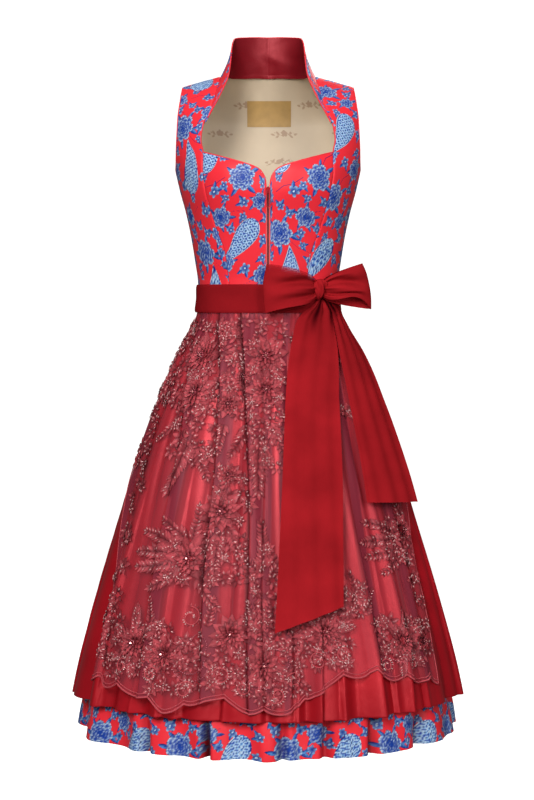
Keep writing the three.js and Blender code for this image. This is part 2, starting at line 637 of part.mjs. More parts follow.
function tail(rows, end) {
  const point = (share, rise, out) => {
    const z = lerp(lerp(end.right, end.left, share), rows[0].z, rise);
    const turn = degToRad(lerp(read(rows, "right", z), read(rows, "left", z), share));
    const lift = lerp(read(rows, "rightOut", z), read(rows, "leftOut", z), share);
    const ripple = 2 * Math.sin(3.2 * Math.PI * share) ** 2 * (1 - rise);
    return skirt(turn, z, apronHeight(z) + lift + ripple + out);
  };
  const grid = spread(8).map((share) => spread(8).map((rise) => point(share, rise, 0)));
  return trimmed(wall(moved(grid, SASH_WALL), grid), [bandClear, knot(SEAM)]);
}
add("tail_front", tail(FRONT_TAIL, FRONT_TAIL_END), ORGANZA);
add("tail_side", tail(SIDE_TAIL, SIDE_TAIL_END), ORGANZA);

// Raised flowers sewn to the apron: five rounded petals round a domed centre, on the apron's own surface.
const FLOWERS = [
  { x: -106, z: -451, radius: 25 },
  { x: -119, z: -511, radius: 23 },
  { x: -3, z: -451, radius: 24 },
  { x: -3, z: -505, radius: 22 },
  { x: -63, z: -528, radius: 17 },
  { x: -75, z: -698, radius: 26 },
  { x: -127, z: -774, radius: 26 },
  { x: -218, z: -905, radius: 24 },
  { x: -165, z: -922, radius: 24 },
  { x: -59, z: -890, radius: 26 },
  { x: -4, z: -937, radius: 25 },
  { x: 91, z: -888, radius: 22 },
  { x: 218, z: -905, radius: 24 },
];
const FLOWER_PETALS = 5;
const apronKeepOut = patch(apronShares, apronRises, apronPoint, SEAM, -12);
function flower({ x, z, radius }) {
  const middle = skirtTurn(x, z, apronHeight(z));
  const perTurn = read(SKIRT, "front", z) + apronHeight(z);
  const around = spread(15, 0, 2 * Math.PI).slice(0, -1);
  const petal = (angle) => 0.8 + 0.2 * Math.abs(Math.cos((FLOWER_PETALS / 2) * angle));
  const cup = (share) => 5.5 * (1 - share ** 3) + 1.5 * Math.cos(2.4 * Math.PI * share);
  const point = (angle, share, out) => {
    const reach = radius * share * petal(angle);
    const turn = middle + (reach * Math.cos(angle)) / perTurn;
    const height = z + reach * Math.sin(angle);
    return skirt(turn, height, apronOut(turn, height) + out);
  };
  const shares = [1, 0.7, 0.3, 0];
  const face = (out) => around.map((angle) => shares.map((share) => point(angle, share, out(share))));
  return trimmed(wall(face((share) => 1.5 + cup(share)), face(() => -3), true), [apronKeepOut]);
}
FLOWERS.forEach((row, i) => add(`flower_${i + 1}`, flower(row), FLOWER));

// The zip at centre front: a tape behind the opening, a chain of teeth in it, a slider at the top and a pull
// tab, a long loop that hangs from the slider's arch and swings on it.
const ZIP = { top: -177, bottom: -356, tapeHalf: 10, chainHalf: 1.9 };
const zipRows = spread(6, ZIP.bottom, ZIP.top);
const zipPoint = (x, z, out) => torso(turnAt(x, z), z, out);
const tapeOut = -(BODICE_WALL + SEAM);
const tape = patch(spread(2, -ZIP.tapeHalf, ZIP.tapeHalf), zipRows, zipPoint, tapeOut, tapeOut - 1.2);
add("zip_tape", trimmed(tape, [centreFront(1, SEAM), centreFront(-1, SEAM)]), LINING);
const chainShape = patch([-ZIP.chainHalf, 0, ZIP.chainHalf], zipRows, zipPoint, -0.2, tapeOut + SEAM);
add("zip_chain", chainShape, METAL);

const SLIDER = { z: -184, width: 7, height: 11, thickness: 2 };
const ARCH = { width: 1.8, height: 6, reach: 4.6, bar: 1.3 };
const TAB = { width: 6.6, length: 27, thickness: 1.2, side: 1.6, topBar: 1.2 };
const PIVOT_REACH = 1.65;
const box = (x, y, z) => wasm.Manifold.cube([x, y, z], true);
const sliderFace = torso(0, SLIDER.z, SEAM).y;
const lean = Math.atan2(torso(0, SLIDER.z - 8).y - torso(0, SLIDER.z + 8).y, 16);
const plate = box(SLIDER.width, SLIDER.thickness, SLIDER.height).translate(0, -SLIDER.thickness / 2, 0);
const archY = -SLIDER.thickness - ARCH.reach / 2;
const arch = box(ARCH.width, ARCH.reach + 0.4, ARCH.height).translate(0, archY + 0.2, 0);
const archWindow = box(
  ARCH.width + 2,
  ARCH.reach - ARCH.bar,
  ARCH.height - 2 * ARCH.bar,
).translate(0, -SLIDER.thickness - (ARCH.reach - ARCH.bar) / 2, 0);
const slider = plate
  .add(arch)
  .subtract(archWindow)
  .rotate([(lean * 180) / Math.PI, 0, 0])
  .translate(0, sliderFace - SEAM, SLIDER.z);
add("zip_slider", fromSolid(slider), METAL);
const pivotY = sliderFace - SEAM - SLIDER.thickness - PIVOT_REACH;
const tabWindow = box(TAB.width - 2 * TAB.side, 4, TAB.length - 2 * TAB.topBar).translate(0, 0, 0);
const tab = box(TAB.width, TAB.thickness, TAB.length)
  .subtract(tabWindow)
  .translate(0, pivotY, SLIDER.z - TAB.length / 2 + TAB.topBar / 2);
add("zip_pull", fromSolid(tab), METAL);

export default dress;
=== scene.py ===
"""The looks of a sleeveless dirndl in its worn shape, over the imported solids.

Lengths are millimetres in the tables and metres in the meshes. +Z is up, the front faces -Y and the wearer's
left is +X. A turn is 0 at centre front, a quarter turn at the side and a half turn at centre back.
"""

import bpy
import numpy as np
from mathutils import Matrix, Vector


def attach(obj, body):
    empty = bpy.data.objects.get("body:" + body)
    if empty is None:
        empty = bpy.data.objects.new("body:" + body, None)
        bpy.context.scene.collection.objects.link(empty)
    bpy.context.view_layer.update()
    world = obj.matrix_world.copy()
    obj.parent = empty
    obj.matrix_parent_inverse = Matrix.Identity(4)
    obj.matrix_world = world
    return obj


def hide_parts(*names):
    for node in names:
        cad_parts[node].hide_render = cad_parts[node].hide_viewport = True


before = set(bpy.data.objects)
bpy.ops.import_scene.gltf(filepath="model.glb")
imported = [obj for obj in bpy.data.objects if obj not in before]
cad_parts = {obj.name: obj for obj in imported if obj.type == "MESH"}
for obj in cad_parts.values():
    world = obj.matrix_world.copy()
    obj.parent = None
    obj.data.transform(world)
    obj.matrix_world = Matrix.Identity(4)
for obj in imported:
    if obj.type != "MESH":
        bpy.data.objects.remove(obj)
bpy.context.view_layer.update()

MM = 0.001
SIDE = np.pi / 2
chance = np.random.default_rng(12)

# Heights of the main lines.
WAIST_Z = -358
SASH_TOP_Z = -335
SASH_BOTTOM_Z = -382
SATIN_HEM_Z = -1027
PRINT_HEM_Z = -1090
NAPE_Z = 25
NECK_X = 80
SEAM = 0.3

# The torso: z, half width, depth in front of and behind the side seams.
TORSO = np.array([
    [-400, 121, 93, 80],
    [-358, 118, 91, 78],
    [-328, 119, 92, 79],
    [-300, 123, 97, 82],
    [-259, 129.5, 105, 86],
    [-218, 138, 114, 92],
    [-177, 149, 122, 99],
    [-155, 154, 122, 102],
    [-100, 164, 108, 105],
    [-60, 167, 94, 103],
    [40, 168, 78, 97],
])
TORSO_SQUARENESS = 0.833
CUP = {"x": 70, "z": -168, "rise": 9, "spread": 36}

# The line of the shoulder: x, z.
SHOULDER = np.array([[0, 88], [40, 52], [74, 18], [110, 7], [144, -3], [172, -14]])
SHOULDER_START_Z = -60
FRONT_ROUNDING = (1.35, 0.75)
BACK_ROUNDING = (1.8, 0.6)

# The satin skirt at the bottom of its folds: z, half width, depth in front and behind, depth of the folds.
SKIRT = np.array([
    [-1100, 330, 256, 274, 15],
    [-1039, 319, 246, 264, 14],
    [-976, 306, 235, 253, 13],
    [-895, 286, 219, 238, 12],
    [-813, 265, 203, 222, 11],
    [-731, 243, 186, 205, 10],
    [-650, 221, 168, 186, 9],
    [-568, 195, 149, 166, 8],
    [-527, 181, 139, 155, 7],
    [-486, 166, 128, 142, 6],
    [-446, 148, 115, 127, 5],
    [-405, 126, 98, 104, 3.5],
    [-382, 118, 90, 79, 1.8],
    [-358, 116.5, 89.5, 76.5, 1.4],
])
ROUND_FROM_Z = -480
SATIN_FOLDS = 26
PRINT_FOLDS = 16
APRON_WALL = 1.2


def lerp(low, high, share):
    """A straight blend of two values."""
    return low + (high - low) * share


def smoothstep(value, low, high):
    """From 0 at low to 1 at high, level at both ends."""
    share = np.clip((value - low) / (high - low), 0, 1)
    return share * share * (3 - 2 * share)


def hermite(t, length, start, end, slope_out, slope_in):
    """The cubic over a stretch of the given length, at the share t of it, from the values and slopes at its
    ends."""
    return (
        (2 * t**3 - 3 * t**2 + 1) * start
        + (t**3 - 2 * t**2 + t) * length * slope_out
        + (3 * t**2 - 2 * t**3) * end
        + (t**3 - t**2) * length * slope_in
    )


def read(table, column, at):
    """A column of a table at any value of its first column. Between two rows it is the cubic that has, at
    each row, the harmonic mean of the slopes on either side, or a level slope at a peak."""
    x, y = table[:, 0], table[:, column]
    at = np.clip(np.asarray(at, float), x[0], x[-1])
    slope = np.diff(y) / np.diff(x)
    before, after = slope[:-1], slope[1:]
    total = np.where(before + after == 0, 1, before + after)
    middle = np.where(before * after > 0, 2 * before * after / total, 0)
    tangent = np.concatenate([slope[:1], middle, slope[-1:]])
    i = np.clip(np.searchsorted(x, at, side="right") - 1, 0, len(x) - 2)
    h = x[i + 1] - x[i]
    return hermite((at - x[i]) / h, h, y[i], y[i + 1], tangent[i], tangent[i + 1])


def ridge(x):
    """The height of the shoulder's line."""
    return read(SHOULDER, 1, np.abs(x))


def stack(x, y, z):
    """Points from their x, y and z."""
    return np.stack(np.broadcast_arrays(x, y, z), axis=-1)


def torso(turn, z, out=0.0):
    """A point out mm outside the torso. x is the half width times the sine of the turn, flattened by a
    power. y is the depth times its cosine, with a bump over each cup. Above the shoulder's start the depth
    closes to nothing at the shoulder's line."""
    turn, z, out = np.broadcast_arrays(*(np.asarray(value, float) for value in (turn, z, out)))
    front = np.abs(turn) <= SIDE
    half = read(TORSO, 1, z)
    across = np.sign(turn) * np.abs(np.sin(turn)) ** TORSO_SQUARENESS
    depth = np.where(front, read(TORSO, 2, z), read(TORSO, 3, z)) + out
    depth = depth * np.abs(np.cos(turn))
    off = np.hypot(np.abs(across * half) - CUP["x"], z - CUP["z"]) / CUP["spread"]
    depth = depth + np.where(front, CUP["rise"] * np.exp(-off * off / 2), 0)
    top = ridge(across * half)
    climb = np.clip((z - SHOULDER_START_Z) / (top - SHOULDER_START_Z), 0, 1)
    closing = np.where(
        front,
        (1 - climb ** FRONT_ROUNDING[0]) ** FRONT_ROUNDING[1],
        (1 - climb ** BACK_ROUNDING[0]) ** BACK_ROUNDING[1],
    )
    height = np.where(z > SHOULDER_START_Z, lerp(SHOULDER_START_Z, top + out, climb), z)
    y = np.where(front, -1, 1) * (depth * closing + SEAM / 2)
    return stack(across * (half + out), y, height)


def turn_at(x, z):
    """The turn at which the torso's front has the given x."""
    share = np.clip(np.abs(x) / read(TORSO, 1, z), 0, 1)
    return np.sign(x) * np.arcsin(share ** (1 / TORSO_SQUARENESS))


def back_turn(x, z):
    """The turn at which the torso's back has the given x."""
    return np.where(x >= 0, np.pi, -np.pi) - turn_at(x, z)


def skirt(turn, z, out=0.0):
    """A point out mm outside the smooth skirt: squarish at the waist like the torso, oval lower down."""
    turn, z = np.broadcast_arrays(np.asarray(turn, float), np.asarray(z, float))
    power = lerp(TORSO_SQUARENESS, 1, smoothstep(-z, -WAIST_Z, -ROUND_FROM_Z))
    across = np.sign(np.sin(turn)) * np.abs(np.sin(turn)) ** power
    depth = np.where(np.abs(turn) <= SIDE, read(SKIRT, 2, z), read(SKIRT, 3, z)) + out
    return stack(across * (read(SKIRT, 1, z) + out), -depth * np.cos(turn), z)


def fold_wave(phase):
    """From 0 to 1 and back over one turn of the phase, steeper on one side."""
    return 0.5 - 0.5 * np.cos(phase + 0.45 * np.sin(phase))


def fold_phase(turn, folds):
    """The phase of so many folds all round, unevenly spaced."""
    return folds * turn + 0.9 * np.sin(3 * turn + 0.7) + 0.5 * np.sin(7 * turn)


def satin_fold(turn, z):
    """How far the satin's gathered folds stand out, deeper in some places than in others."""
    uneven = 0.8 + 0.2 * np.sin(5 * turn + 1)
    return uneven * read(SKIRT, 4, z) * fold_wave(fold_phase(turn, SATIN_FOLDS))


def print_fold(turn, z):
    """How far the underskirt's gathered folds lie in."""
    return 0.7 * read(SKIRT, 4, z) * fold_wave(fold_phase(turn, PRINT_FOLDS))


# Colours, as the eye reads them on a screen.
def colour(red, green, blue):
    """A screen colour, 0 to 255, as the linear light that the renderer works in."""
    c = np.array([red, green, blue]) / 255
    return np.where(c <= 0.04045, c / 12.92, ((c + 0.055) / 1.055) ** 2.4)


CORAL = colour(238, 46, 58)
NAVY = colour(14, 28, 104)
BLUE = colour(24, 64, 158)
LEAF_BLUE = 0.4 * NAVY + 0.6 * BLUE
SKY = colour(88, 146, 208)
ICE = colour(208, 232, 242)
DARK_SATIN = colour(170, 18, 30)
ORGANZA_RED = colour(152, 26, 32)
DUSTY_ROSE = colour(214, 86, 95)
# The dark end of the thread's tone, used for darker leaves and for painted shade.
ROSE_DARK_AND_SHADE = colour(66, 6, 18)
NET_ROSE = colour(206, 82, 96)
NET_DOUBLED = colour(140, 48, 64)
# Painted shade colours: for the net's pleat troughs, the print's deep folds and the ribbon's hollows.
NET_SHADE = colour(70, 4, 14)
PRINT_SHADE = colour(48, 4, 10)
ORGANZA_SHADE = colour(40, 2, 6)
CREAM = colour(206, 187, 160)
BROWN = colour(150, 110, 84)
TAN = colour(176, 140, 82)


class Drawing:
    """Printed or embroidered figures on a cloth with coordinates u and v in mm. Each figure is kept as the
    distance in mm to its edge, less than 0 inside, so that it stays sharp between the mesh's points. A tile
    repeats the figures every so many mm."""

    def __init__(self, u, v, tile=None):
        self.shape = u.shape
        self.u, self.v, self.tile = u.ravel(), v.ravel(), tile
        self.motif = np.full(self.u.size, 9.0)
        self.line = np.full(self.u.size, 9.0)
        self.ink = np.zeros((self.u.size, 3))

    def near(self, centre, reach, angle=0.0):
        """The points within reach of a centre, and their own x and y when the figure is turned by angle."""
        x, y = self.u - centre[0], self.v - centre[1]
        if self.tile:
            x = (x + self.tile[0] / 2) % self.tile[0] - self.tile[0] / 2
            y = (y + self.tile[1] / 2) % self.tile[1] - self.tile[1] / 2
        where = np.nonzero(x * x + y * y < reach * reach)[0]
        x, y = x[where], y[where]
        return where, x * np.cos(angle) + y * np.sin(angle), y * np.cos(angle) - x * np.sin(angle)

    def lay(self, where, distance, ink, outline=0.3):
        """One figure over those before it, with a line along its edge. The ink is one colour, or one for
        each place."""
        inside = distance < 0
        edge = np.abs(distance) - outline
        self.motif[where] = np.minimum(self.motif[where], distance)
        self.line[where] = np.where(inside, edge, np.minimum(self.line[where], edge))
        self.ink[where] = np.where(inside[:, None], ink, self.ink[where])

    def rule(self, where, distance):
        """A line inside the figures, as a distance less than 0 on the line."""
        self.line[where] = np.minimum(self.line[where], distance)

    def layers(self):
        """The layers that the cloth's points carry, in the shape of its grid."""
        return {
            "motif": self.motif.reshape(self.shape),
            "line": self.line.reshape(self.shape),
            "ink": self.ink.reshape(self.shape + (3,)),
        }


def shade(low, high, share):
    """A colour between two for each share from 0 to 1."""
    return low + (high - low) * np.clip(share, 0, 1)[:, None]


def bloom(drawing, centre, radius, petals=7, spin=0.0):
    """A full round flower: rings of petals, each ring's edge a rounded wave of the angle, dark between the
    petals and pale at their tips."""
    where, x, y = drawing.near(centre, radius * 1.2)
    r, a = np.hypot(x, y), np.arctan2(y, x)
    for ring, share in enumerate((1, 0.77, 0.55, 0.35, 0.18)):
        turned = a - spin - ring * 1.13 * np.pi / petals
        wave = np.abs(np.cos(petals / 2 * turned)) ** 0.5
        edge = radius * share * (0.74 + 0.28 * wave + 0.03 * np.sin(31 * a + 9 * ring))
        streak = 0.5 + 0.5 * np.cos(petals * 4 * turned)
        pale = smoothstep(r / edge, 0.76, 1.0) * (0.35 + 0.65 * streak) * wave
        drawing.lay(where, r - edge, shade(shade(NAVY, BLUE, 0.3 + 0.7 * wave), ICE, pale), 0.4)


def blossom(drawing, centre, radius, petals=5, spin=0.0):
    """A small open flower with separate rounded petals and a pale eye."""
    where, x, y = drawing.near(centre, radius * 1.1)
    r, a = np.hypot(x, y), np.arctan2(y, x)
    edge = radius * (0.35 + 0.65 * np.abs(np.cos(petals / 2 * (a - spin))) ** 0.7)
    drawing.lay(where, r - edge, shade(BLUE * 0.8, SKY * 0.5 + ICE * 0.5, 1.1 * (r / radius) ** 2.5), 0.35)
    drawing.rule(where, np.maximum(np.abs(np.sin(petals * (a - spin))) * r * 0.5 - 0.12, r - edge * 0.75))
    drawing.lay(where, r - radius * 0.16, ICE, 0.25)


def leaf(drawing, centre, length, angle, broad=0.34):
    """A pointed leaf from its stalk: its half width is a parabola of the way along, fuller near the stalk."""
    where, x, y = drawing.near(centre, length * 1.1, angle)
    along = np.clip(x / length, 0, 1)
    half = 2 * length * broad * along * (1 - along) * (1.25 - 0.5 * along)
    distance = np.where((x > 0) & (x < length), np.abs(y) - half, 9.0)
    tone = 0.45 + 0.45 * np.sign(y) + 0.25 * np.cos(2.6 * x)
    drawing.lay(where, distance, shade(LEAF_BLUE, SKY, 0.75 * tone))
    drawing.rule(where, np.maximum(np.abs(y) - 0.2, distance))


def teardrop(drawing, centre, size, angle, lean=1.0):
    """A bent drop with a pale rim, filled with rows of scales. Its half width rises as a circle at the round
    end and falls as a power of the way to the tip, and its middle bends sideways with the square of it."""
    length = 3.5 * size
    where, x, y = drawing.near(centre, length * 1.15, angle)
    t = np.clip((x + size) / (length + size), 0, 1)
    low, high = np.clip(t / 0.3, 0, 1), np.clip((t - 0.3) / 0.7, 0, 1)
    half = size * np.where(t < 0.3, np.sqrt(1 - (1 - low) ** 2), 1 - high**1.5)
    y = y - lean * size * 0.9 * t**2.5
    distance = np.where((t > 0) & (t < 1), np.abs(y) - half, 9.0)
    drawing.lay(where, distance, ICE, 0.35)
    drawing.lay(where, distance + 1.3, BLUE, 0.2)
    pitch = size * 0.42
    row = np.floor(x / pitch)
    across = (y / pitch + 0.5 * (row % 2)) % 1 - 0.5
    r = np.hypot(across, x / pitch - row - 0.5) * pitch
    inner = distance + 2.6
    scale = np.maximum(r - pitch * 0.47, inner)
    drawing.lay(where, scale, shade(ICE, SKY, 1.6 * (1 - r / (pitch * 0.5))), 0.1)
    drawing.lay(where, np.maximum(r - pitch * 0.17, inner), NAVY, 0.1)


def stalk(drawing, points, width=0.5):
    """A thin stem through points, as the distance to the nearest stretch of its line."""
    ends = np.array(points, float)
    for start, end in zip(ends[:-1], ends[1:]):
        way = end - start
        where, x, y = drawing.near((start + end) / 2, np.hypot(*way) / 2 + 3)
        x, y = x + way[0] / 2, y + way[1] / 2
        share = np.clip((x * way[0] + y * way[1]) / (way @ way), 0, 1)
        distance = np.hypot(x - share * way[0], y - share * way[1]) - width
        drawing.lay(where, distance, NAVY, 0.1)


# One repeat of the print: its size, and its figures with their places in mm.
PRINT_TILE = (168, 206)
STALKS = [
    [(30, 20), (44, 30), (60, 33), (78, 44)],
    [(112, 60), (122, 76), (140, 84), (152, 100)],
    [(90, 118), (76, 130), (60, 136), (42, 152)],
    [(10, 196), (24, 186), (30, 172)],
    [(118, 140), (104, 128), (92, 118)],
    [(84, 190), (98, 196), (116, 196)],
]
# Scaled drops: x, y, half width, heading, and which way they bend.
TEARDROPS = [(40, 70, 20, 1.25, 1), (126, 166, 19, -1.95, -1)]
# Full flowers: x, y, radius, petals, turn.
BLOOMS = [
    (106, 44, 22, 8, 0.3), (30, 160, 22, 7, 0.9), (88, 112, 17, 7, 0.1), (156, 92, 18, 8, 0.5),
    (76, 186, 17, 7, 1.3), (8, 16, 16, 7, 0.7), (140, 6, 14, 7, 0.2),
]
BUDS, BUD_TRIES, BUD_ROOM = 22, 4000, 1.5


def growth():
    """The leaves round each full flower, and small flowers with a pair of leaves in the room that is left."""
    draw = np.random.default_rng(5)
    half = np.array(PRINT_TILE) / 2
    leaves, blossoms = [], []
    taken = [(x, y, radius) for x, y, radius, petals, spin in BLOOMS]
    for x, y, size, angle, lean in TEARDROPS:
        for way in (0, size, 2 * size):
            taken.append((x + way * np.cos(angle), y + way * np.sin(angle), size * 0.8))
    for x, y, radius, petals, spin in BLOOMS:
        for k in range(5):
            angle = spin + 2 * np.pi * (k + draw.uniform(-0.25, 0.25)) / 5
            root = (x + 0.7 * radius * np.cos(angle), y + 0.7 * radius * np.sin(angle))
            leaves.append((*root, radius * draw.uniform(0.75, 1.0), angle + draw.uniform(-0.4, 0.4)))
    for _ in range(BUD_TRIES):
        if len(blossoms) == BUDS:
            break
        x, y = draw.uniform(0, PRINT_TILE[0]), draw.uniform(0, PRINT_TILE[1])
        radius = draw.uniform(6.5, 10.5)
        rooms = np.array(taken)
        off = (np.array([x, y]) - rooms[:, :2] + half) % PRINT_TILE - half
        if np.all(np.hypot(off[:, 0], off[:, 1]) > radius + rooms[:, 2] + BUD_ROOM):
            taken.append((x, y, radius))
            spin = draw.uniform(0, 6.28)
            blossoms.append((x, y, radius, 5, spin))
            for way in (-0.6, 0.6):
                leaves.append((x, y, radius * 1.9, spin + way))
    return leaves, blossoms


LEAVES, BLOSSOMS = growth()


def printed(u, v):
    """The cloth's print: stems first, then leaves, scaled drops, full flowers and small ones over them."""
    drawing = Drawing(u, v, PRINT_TILE)
    for points in STALKS:
        stalk(drawing, points)
    for x, y, length, angle in LEAVES:
        leaf(drawing, (x, y), length, angle)
    for x, y, size, angle, lean in TEARDROPS:
        teardrop(drawing, (x, y), size, angle, lean)
    for x, y, radius, petals, spin in BLOOMS:
        bloom(drawing, (x, y), radius, petals, spin)
    for x, y, radius, petals, spin in BLOSSOMS:
        blossom(drawing, (x, y), radius, petals, spin)
    return drawing.layers()


# Making meshes.
def piece(name, points, faces, material, uv=None, layers=None, smooth=True):
    """A mesh object from points in mm and faces of three or four corners, riding on the dress. Its layers are
    numbers or colours, one for each point."""
    mesh = bpy.data.meshes.new(name)
    corners = faces.shape[1]
    mesh.vertices.add(len(points))
    mesh.vertices.foreach_set("co", (points * MM).astype(np.float32).ravel())
    mesh.loops.add(faces.size)
    mesh.loops.foreach_set("vertex_index", faces.astype(np.int32).ravel())
    mesh.polygons.add(len(faces))
    mesh.polygons.foreach_set("loop_start", np.arange(0, faces.size, corners, dtype=np.int32))
    mesh.polygons.foreach_set("use_smooth", np.full(len(faces), smooth))
    if uv is not None:
        layer = mesh.uv_layers.new(name="cloth")
        layer.data.foreach_set("uv", (uv.reshape(-1, 2)[faces.ravel()] * MM).astype(np.float32).ravel())
    for key, values in (layers or {}).items():
        if values.ndim == 1:
            attribute = mesh.attributes.new(key, "FLOAT", "POINT")
            attribute.data.foreach_set("value", values.astype(np.float32).ravel())
        else:
            attribute = mesh.attributes.new(key, "FLOAT_COLOR", "POINT")
            full = np.concatenate([values.reshape(-1, 3), np.ones((len(points), 1))], axis=1)
            attribute.data.foreach_set("color", full.astype(np.float32).ravel())
    mesh.update()
    mesh.validate()
    mesh.materials.append(material)
    made = bpy.data.objects.new(name, mesh)
    bpy.context.scene.collection.objects.link(made)
    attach(made, "dress")
    return made


def grid_faces(columns, rows, closed=False):
    """The faces between a grid's neighbouring points. A closed grid's last column meets its first."""
    index = np.arange(columns * rows).reshape(columns, rows)
    after = np.roll(index, -1, axis=0)
    spans = columns if closed else columns - 1
    corners = [index[:spans, :-1], after[:spans, :-1], after[:spans, 1:], index[:spans, 1:]]
    return np.stack(corners, axis=-1).reshape(-1, 4)


def over_cloth(u, v):
    """The cloth's own coordinates in mm, as one pair for each point."""
    return np.stack(np.broadcast_arrays(u, v), axis=-1)


def cloth(name, grid, material, closed=False, uv=None, layers=None):
    """A cloth from a grid of points whose columns run with the turn and whose rows rise. Without a uv of its
    own, u follows the cloth from its first column and v is the height."""
    uv = over_cloth(flat_lengths(grid), grid[..., 2]) if uv is None else uv
    faces = grid_faces(grid.shape[0], grid.shape[1], closed)
    layers = {key: v.reshape(-1, 3) if v.ndim == 3 else v.ravel() for key, v in (layers or {}).items()}
    return piece(name, grid.reshape(-1, 3), faces, material, uv, layers)


def normals(grid):
    """The outward direction at each point of a grid, from the steps to its neighbours."""
    out = np.cross(np.gradient(grid, axis=0), np.gradient(grid, axis=1))
    return out / np.maximum(np.linalg.norm(out, axis=-1, keepdims=True), 1e-9)


# The turned edge of a cut piece: its breadth, and places from the edge with how far each has sunk, in mm.
TURNED_EDGE = 3.2
EDGE_AT = np.array([0, 0, 0.7, 1.8])
EDGE_SUNK = np.array([2.6, 1.5, 0.8, 0.2])


def places(length, step):
    """Places from 0 to 1 along a length, about step apart with close ones at both ends, and how far in mm
    the turned edge of the cloth has sunk at each."""
    count = max(int(length / step), 4)
    inner = np.linspace(TURNED_EDGE, length - TURNED_EDGE, count)
    at = np.concatenate([EDGE_AT, inner, length - EDGE_AT[::-1]]) / length
    return at, np.concatenate([EDGE_SUNK, np.zeros(count), EDGE_SUNK[::-1]])


def flat_lengths(grid, start=None):
    """How far along each row a point lies, in mm, measured over the cloth from the first column or from the
    column whose number is start."""
    steps = np.linalg.norm(np.diff(grid, axis=0), axis=-1)
    run = np.concatenate([np.zeros((1, grid.shape[1])), np.cumsum(steps, axis=0)])
    return run if start is None else run - run[start : start + 1]


# The least width in metres that is worked out for a cut.
NARROWEST = 0.011


def flat_area(made):
    """The area of a mesh in square metres."""
    mesh = made.data
    mesh.calc_loop_triangles()
    co = np.zeros(len(mesh.vertices) * 3)
    mesh.vertices.foreach_get("co", co)
    tri = np.zeros(len(mesh.loop_triangles) * 3, np.int32)
    mesh.loop_triangles.foreach_get("vertices", tri)
    a, b, c = co.reshape(-1, 3)[tri.reshape(-1, 3)].transpose(1, 0, 2)
    return float(np.linalg.norm(np.cross(b - a, c - a), axis=1).sum() / 2)


def cut(made, length, node=None, sides=1):
    """Works out, in metres, the width that a piece cut to its own length has from its area, and hides the
    solid that the piece is seen in place of. A piece that closes on itself counts both sides of its cloth."""
    width = max(flat_area(made) / sides / length, NARROWEST)
    if node:
        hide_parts(node)


# Materials.
class Finish:
    """A material whose nodes are made one call at a time."""

    def __init__(self, name):
        self.material = bpy.data.materials.new(name)
        self.material.use_nodes = True
        self.tree = self.material.node_tree
        self.cloth = self.tree.nodes["Principled BSDF"]
        self.end = self.tree.nodes["Material Output"]

    def put(self, value, socket):
        """Links another node's output to a socket, or sets the socket to a colour or number."""
        if isinstance(value, bpy.types.NodeSocket):
            self.tree.links.new(value, socket)
        elif isinstance(value, np.ndarray):
            socket.default_value = (*value, 1) if len(socket.default_value) == 4 else tuple(value)
        else:
            socket.default_value = value

    def node(self, kind, output=0, fields=None, **inputs):
        """The output of a new node. An input is named, with _ for a space, or i and its number."""
        made = self.tree.nodes.new(kind)
        for key, value in (fields or {}).items():
            setattr(made, key, value)
        for key, value in inputs.items():
            self.put(value, made.inputs[int(key[1:]) if key[1:].isdigit() else key.replace("_", " ")])
        return made.outputs[output]

    def math(self, operation, a, b=0.0):
        """One step of arithmetic."""
        return self.node("ShaderNodeMath", fields={"operation": operation}, i0=a, i1=b)

    def attribute(self, name, output="Fac"):
        """A layer that the cloth's points carry."""
        return self.node("ShaderNodeAttribute", output, {"attribute_name": name})

    def below(self, value, soft):
        """1 where a distance is under 0, 0 where it is over, with a soft edge."""
        return self.node("ShaderNodeMapRange", i0=value, i1=-soft, i2=soft, i3=1.0, i4=0.0)

    def between(self, value, low, high, to_low=0.0, to_high=1.0):
        """A value's place between two others, from 0 to 1 or from to_low to to_high."""
        return self.node("ShaderNodeMapRange", i0=value, i1=low, i2=high, i3=to_low, i4=to_high)

    def mix(self, share, a, b):
        """A blend of two colours."""
        return self.node("ShaderNodeMix", 2, {"data_type": "RGBA"}, i0=share, i6=a, i7=b)

    def on_cloth(self):
        """The cloth's own coordinates, in metres."""
        return self.node("ShaderNodeUVMap", fields={"uv_map": "cloth"})

    def noise(self, scale, detail=3.0):
        """Soft patches, so many to a metre."""
        where = self.node("ShaderNodeTexCoord", "Object")
        return self.node("ShaderNodeTexNoise", Vector=where, Scale=scale, Detail=detail)

    def tones(self, base, dark, light, scale, detail=3.0):
        """A colour that drifts in soft patches between two shares of the base."""
        drift = self.between(self.noise(scale, detail), 0.3, 0.7)
        return self.mix(drift, base * dark, base * light)

    def tint(self, red, green, blue):
        """The colour of the cloth's shine."""
        self.cloth.inputs["Specular Tint"].default_value = (red, green, blue, 1)

    def bump(self, height, strength, distance, base=None):
        """Relief of the given distance in metres, over another relief if there is one."""
        inputs = {"Strength": strength, "Distance": distance, "Height": height}
        if base:
            inputs["Normal"] = base
        return self.node("ShaderNodeBump", **inputs)

    def set(self, **inputs):
        """Sets the cloth's own inputs by name, with _ for a space."""
        for key, value in inputs.items():
            self.put(value, self.cloth.inputs[key.replace("_", " ")])
        return self

    def see_through(self, cover):
        """Lets what lies behind show where the cover is under 1."""
        clear = self.node("ShaderNodeBsdfTransparent")
        mixed = self.node("ShaderNodeMixShader", i0=cover, i1=clear, i2=self.cloth.outputs[0])
        self.put(mixed, self.end.inputs["Surface"])
        return self


def weave(finish, threads, strength, base=None):
    """A plain weave as bump: two crossed waves along the cloth's own u and v, so many threads to a
    metre."""
    inputs = {"Vector": finish.on_cloth(), "Scale": threads, "Distortion": 0.3}
    along, across = (
        finish.node("ShaderNodeTexWave", 1, {"bands_direction": way}, **inputs) for way in ("X", "Y")
    )
    return finish.bump(finish.math("MULTIPLY", along, across), strength, 0.0002, base)


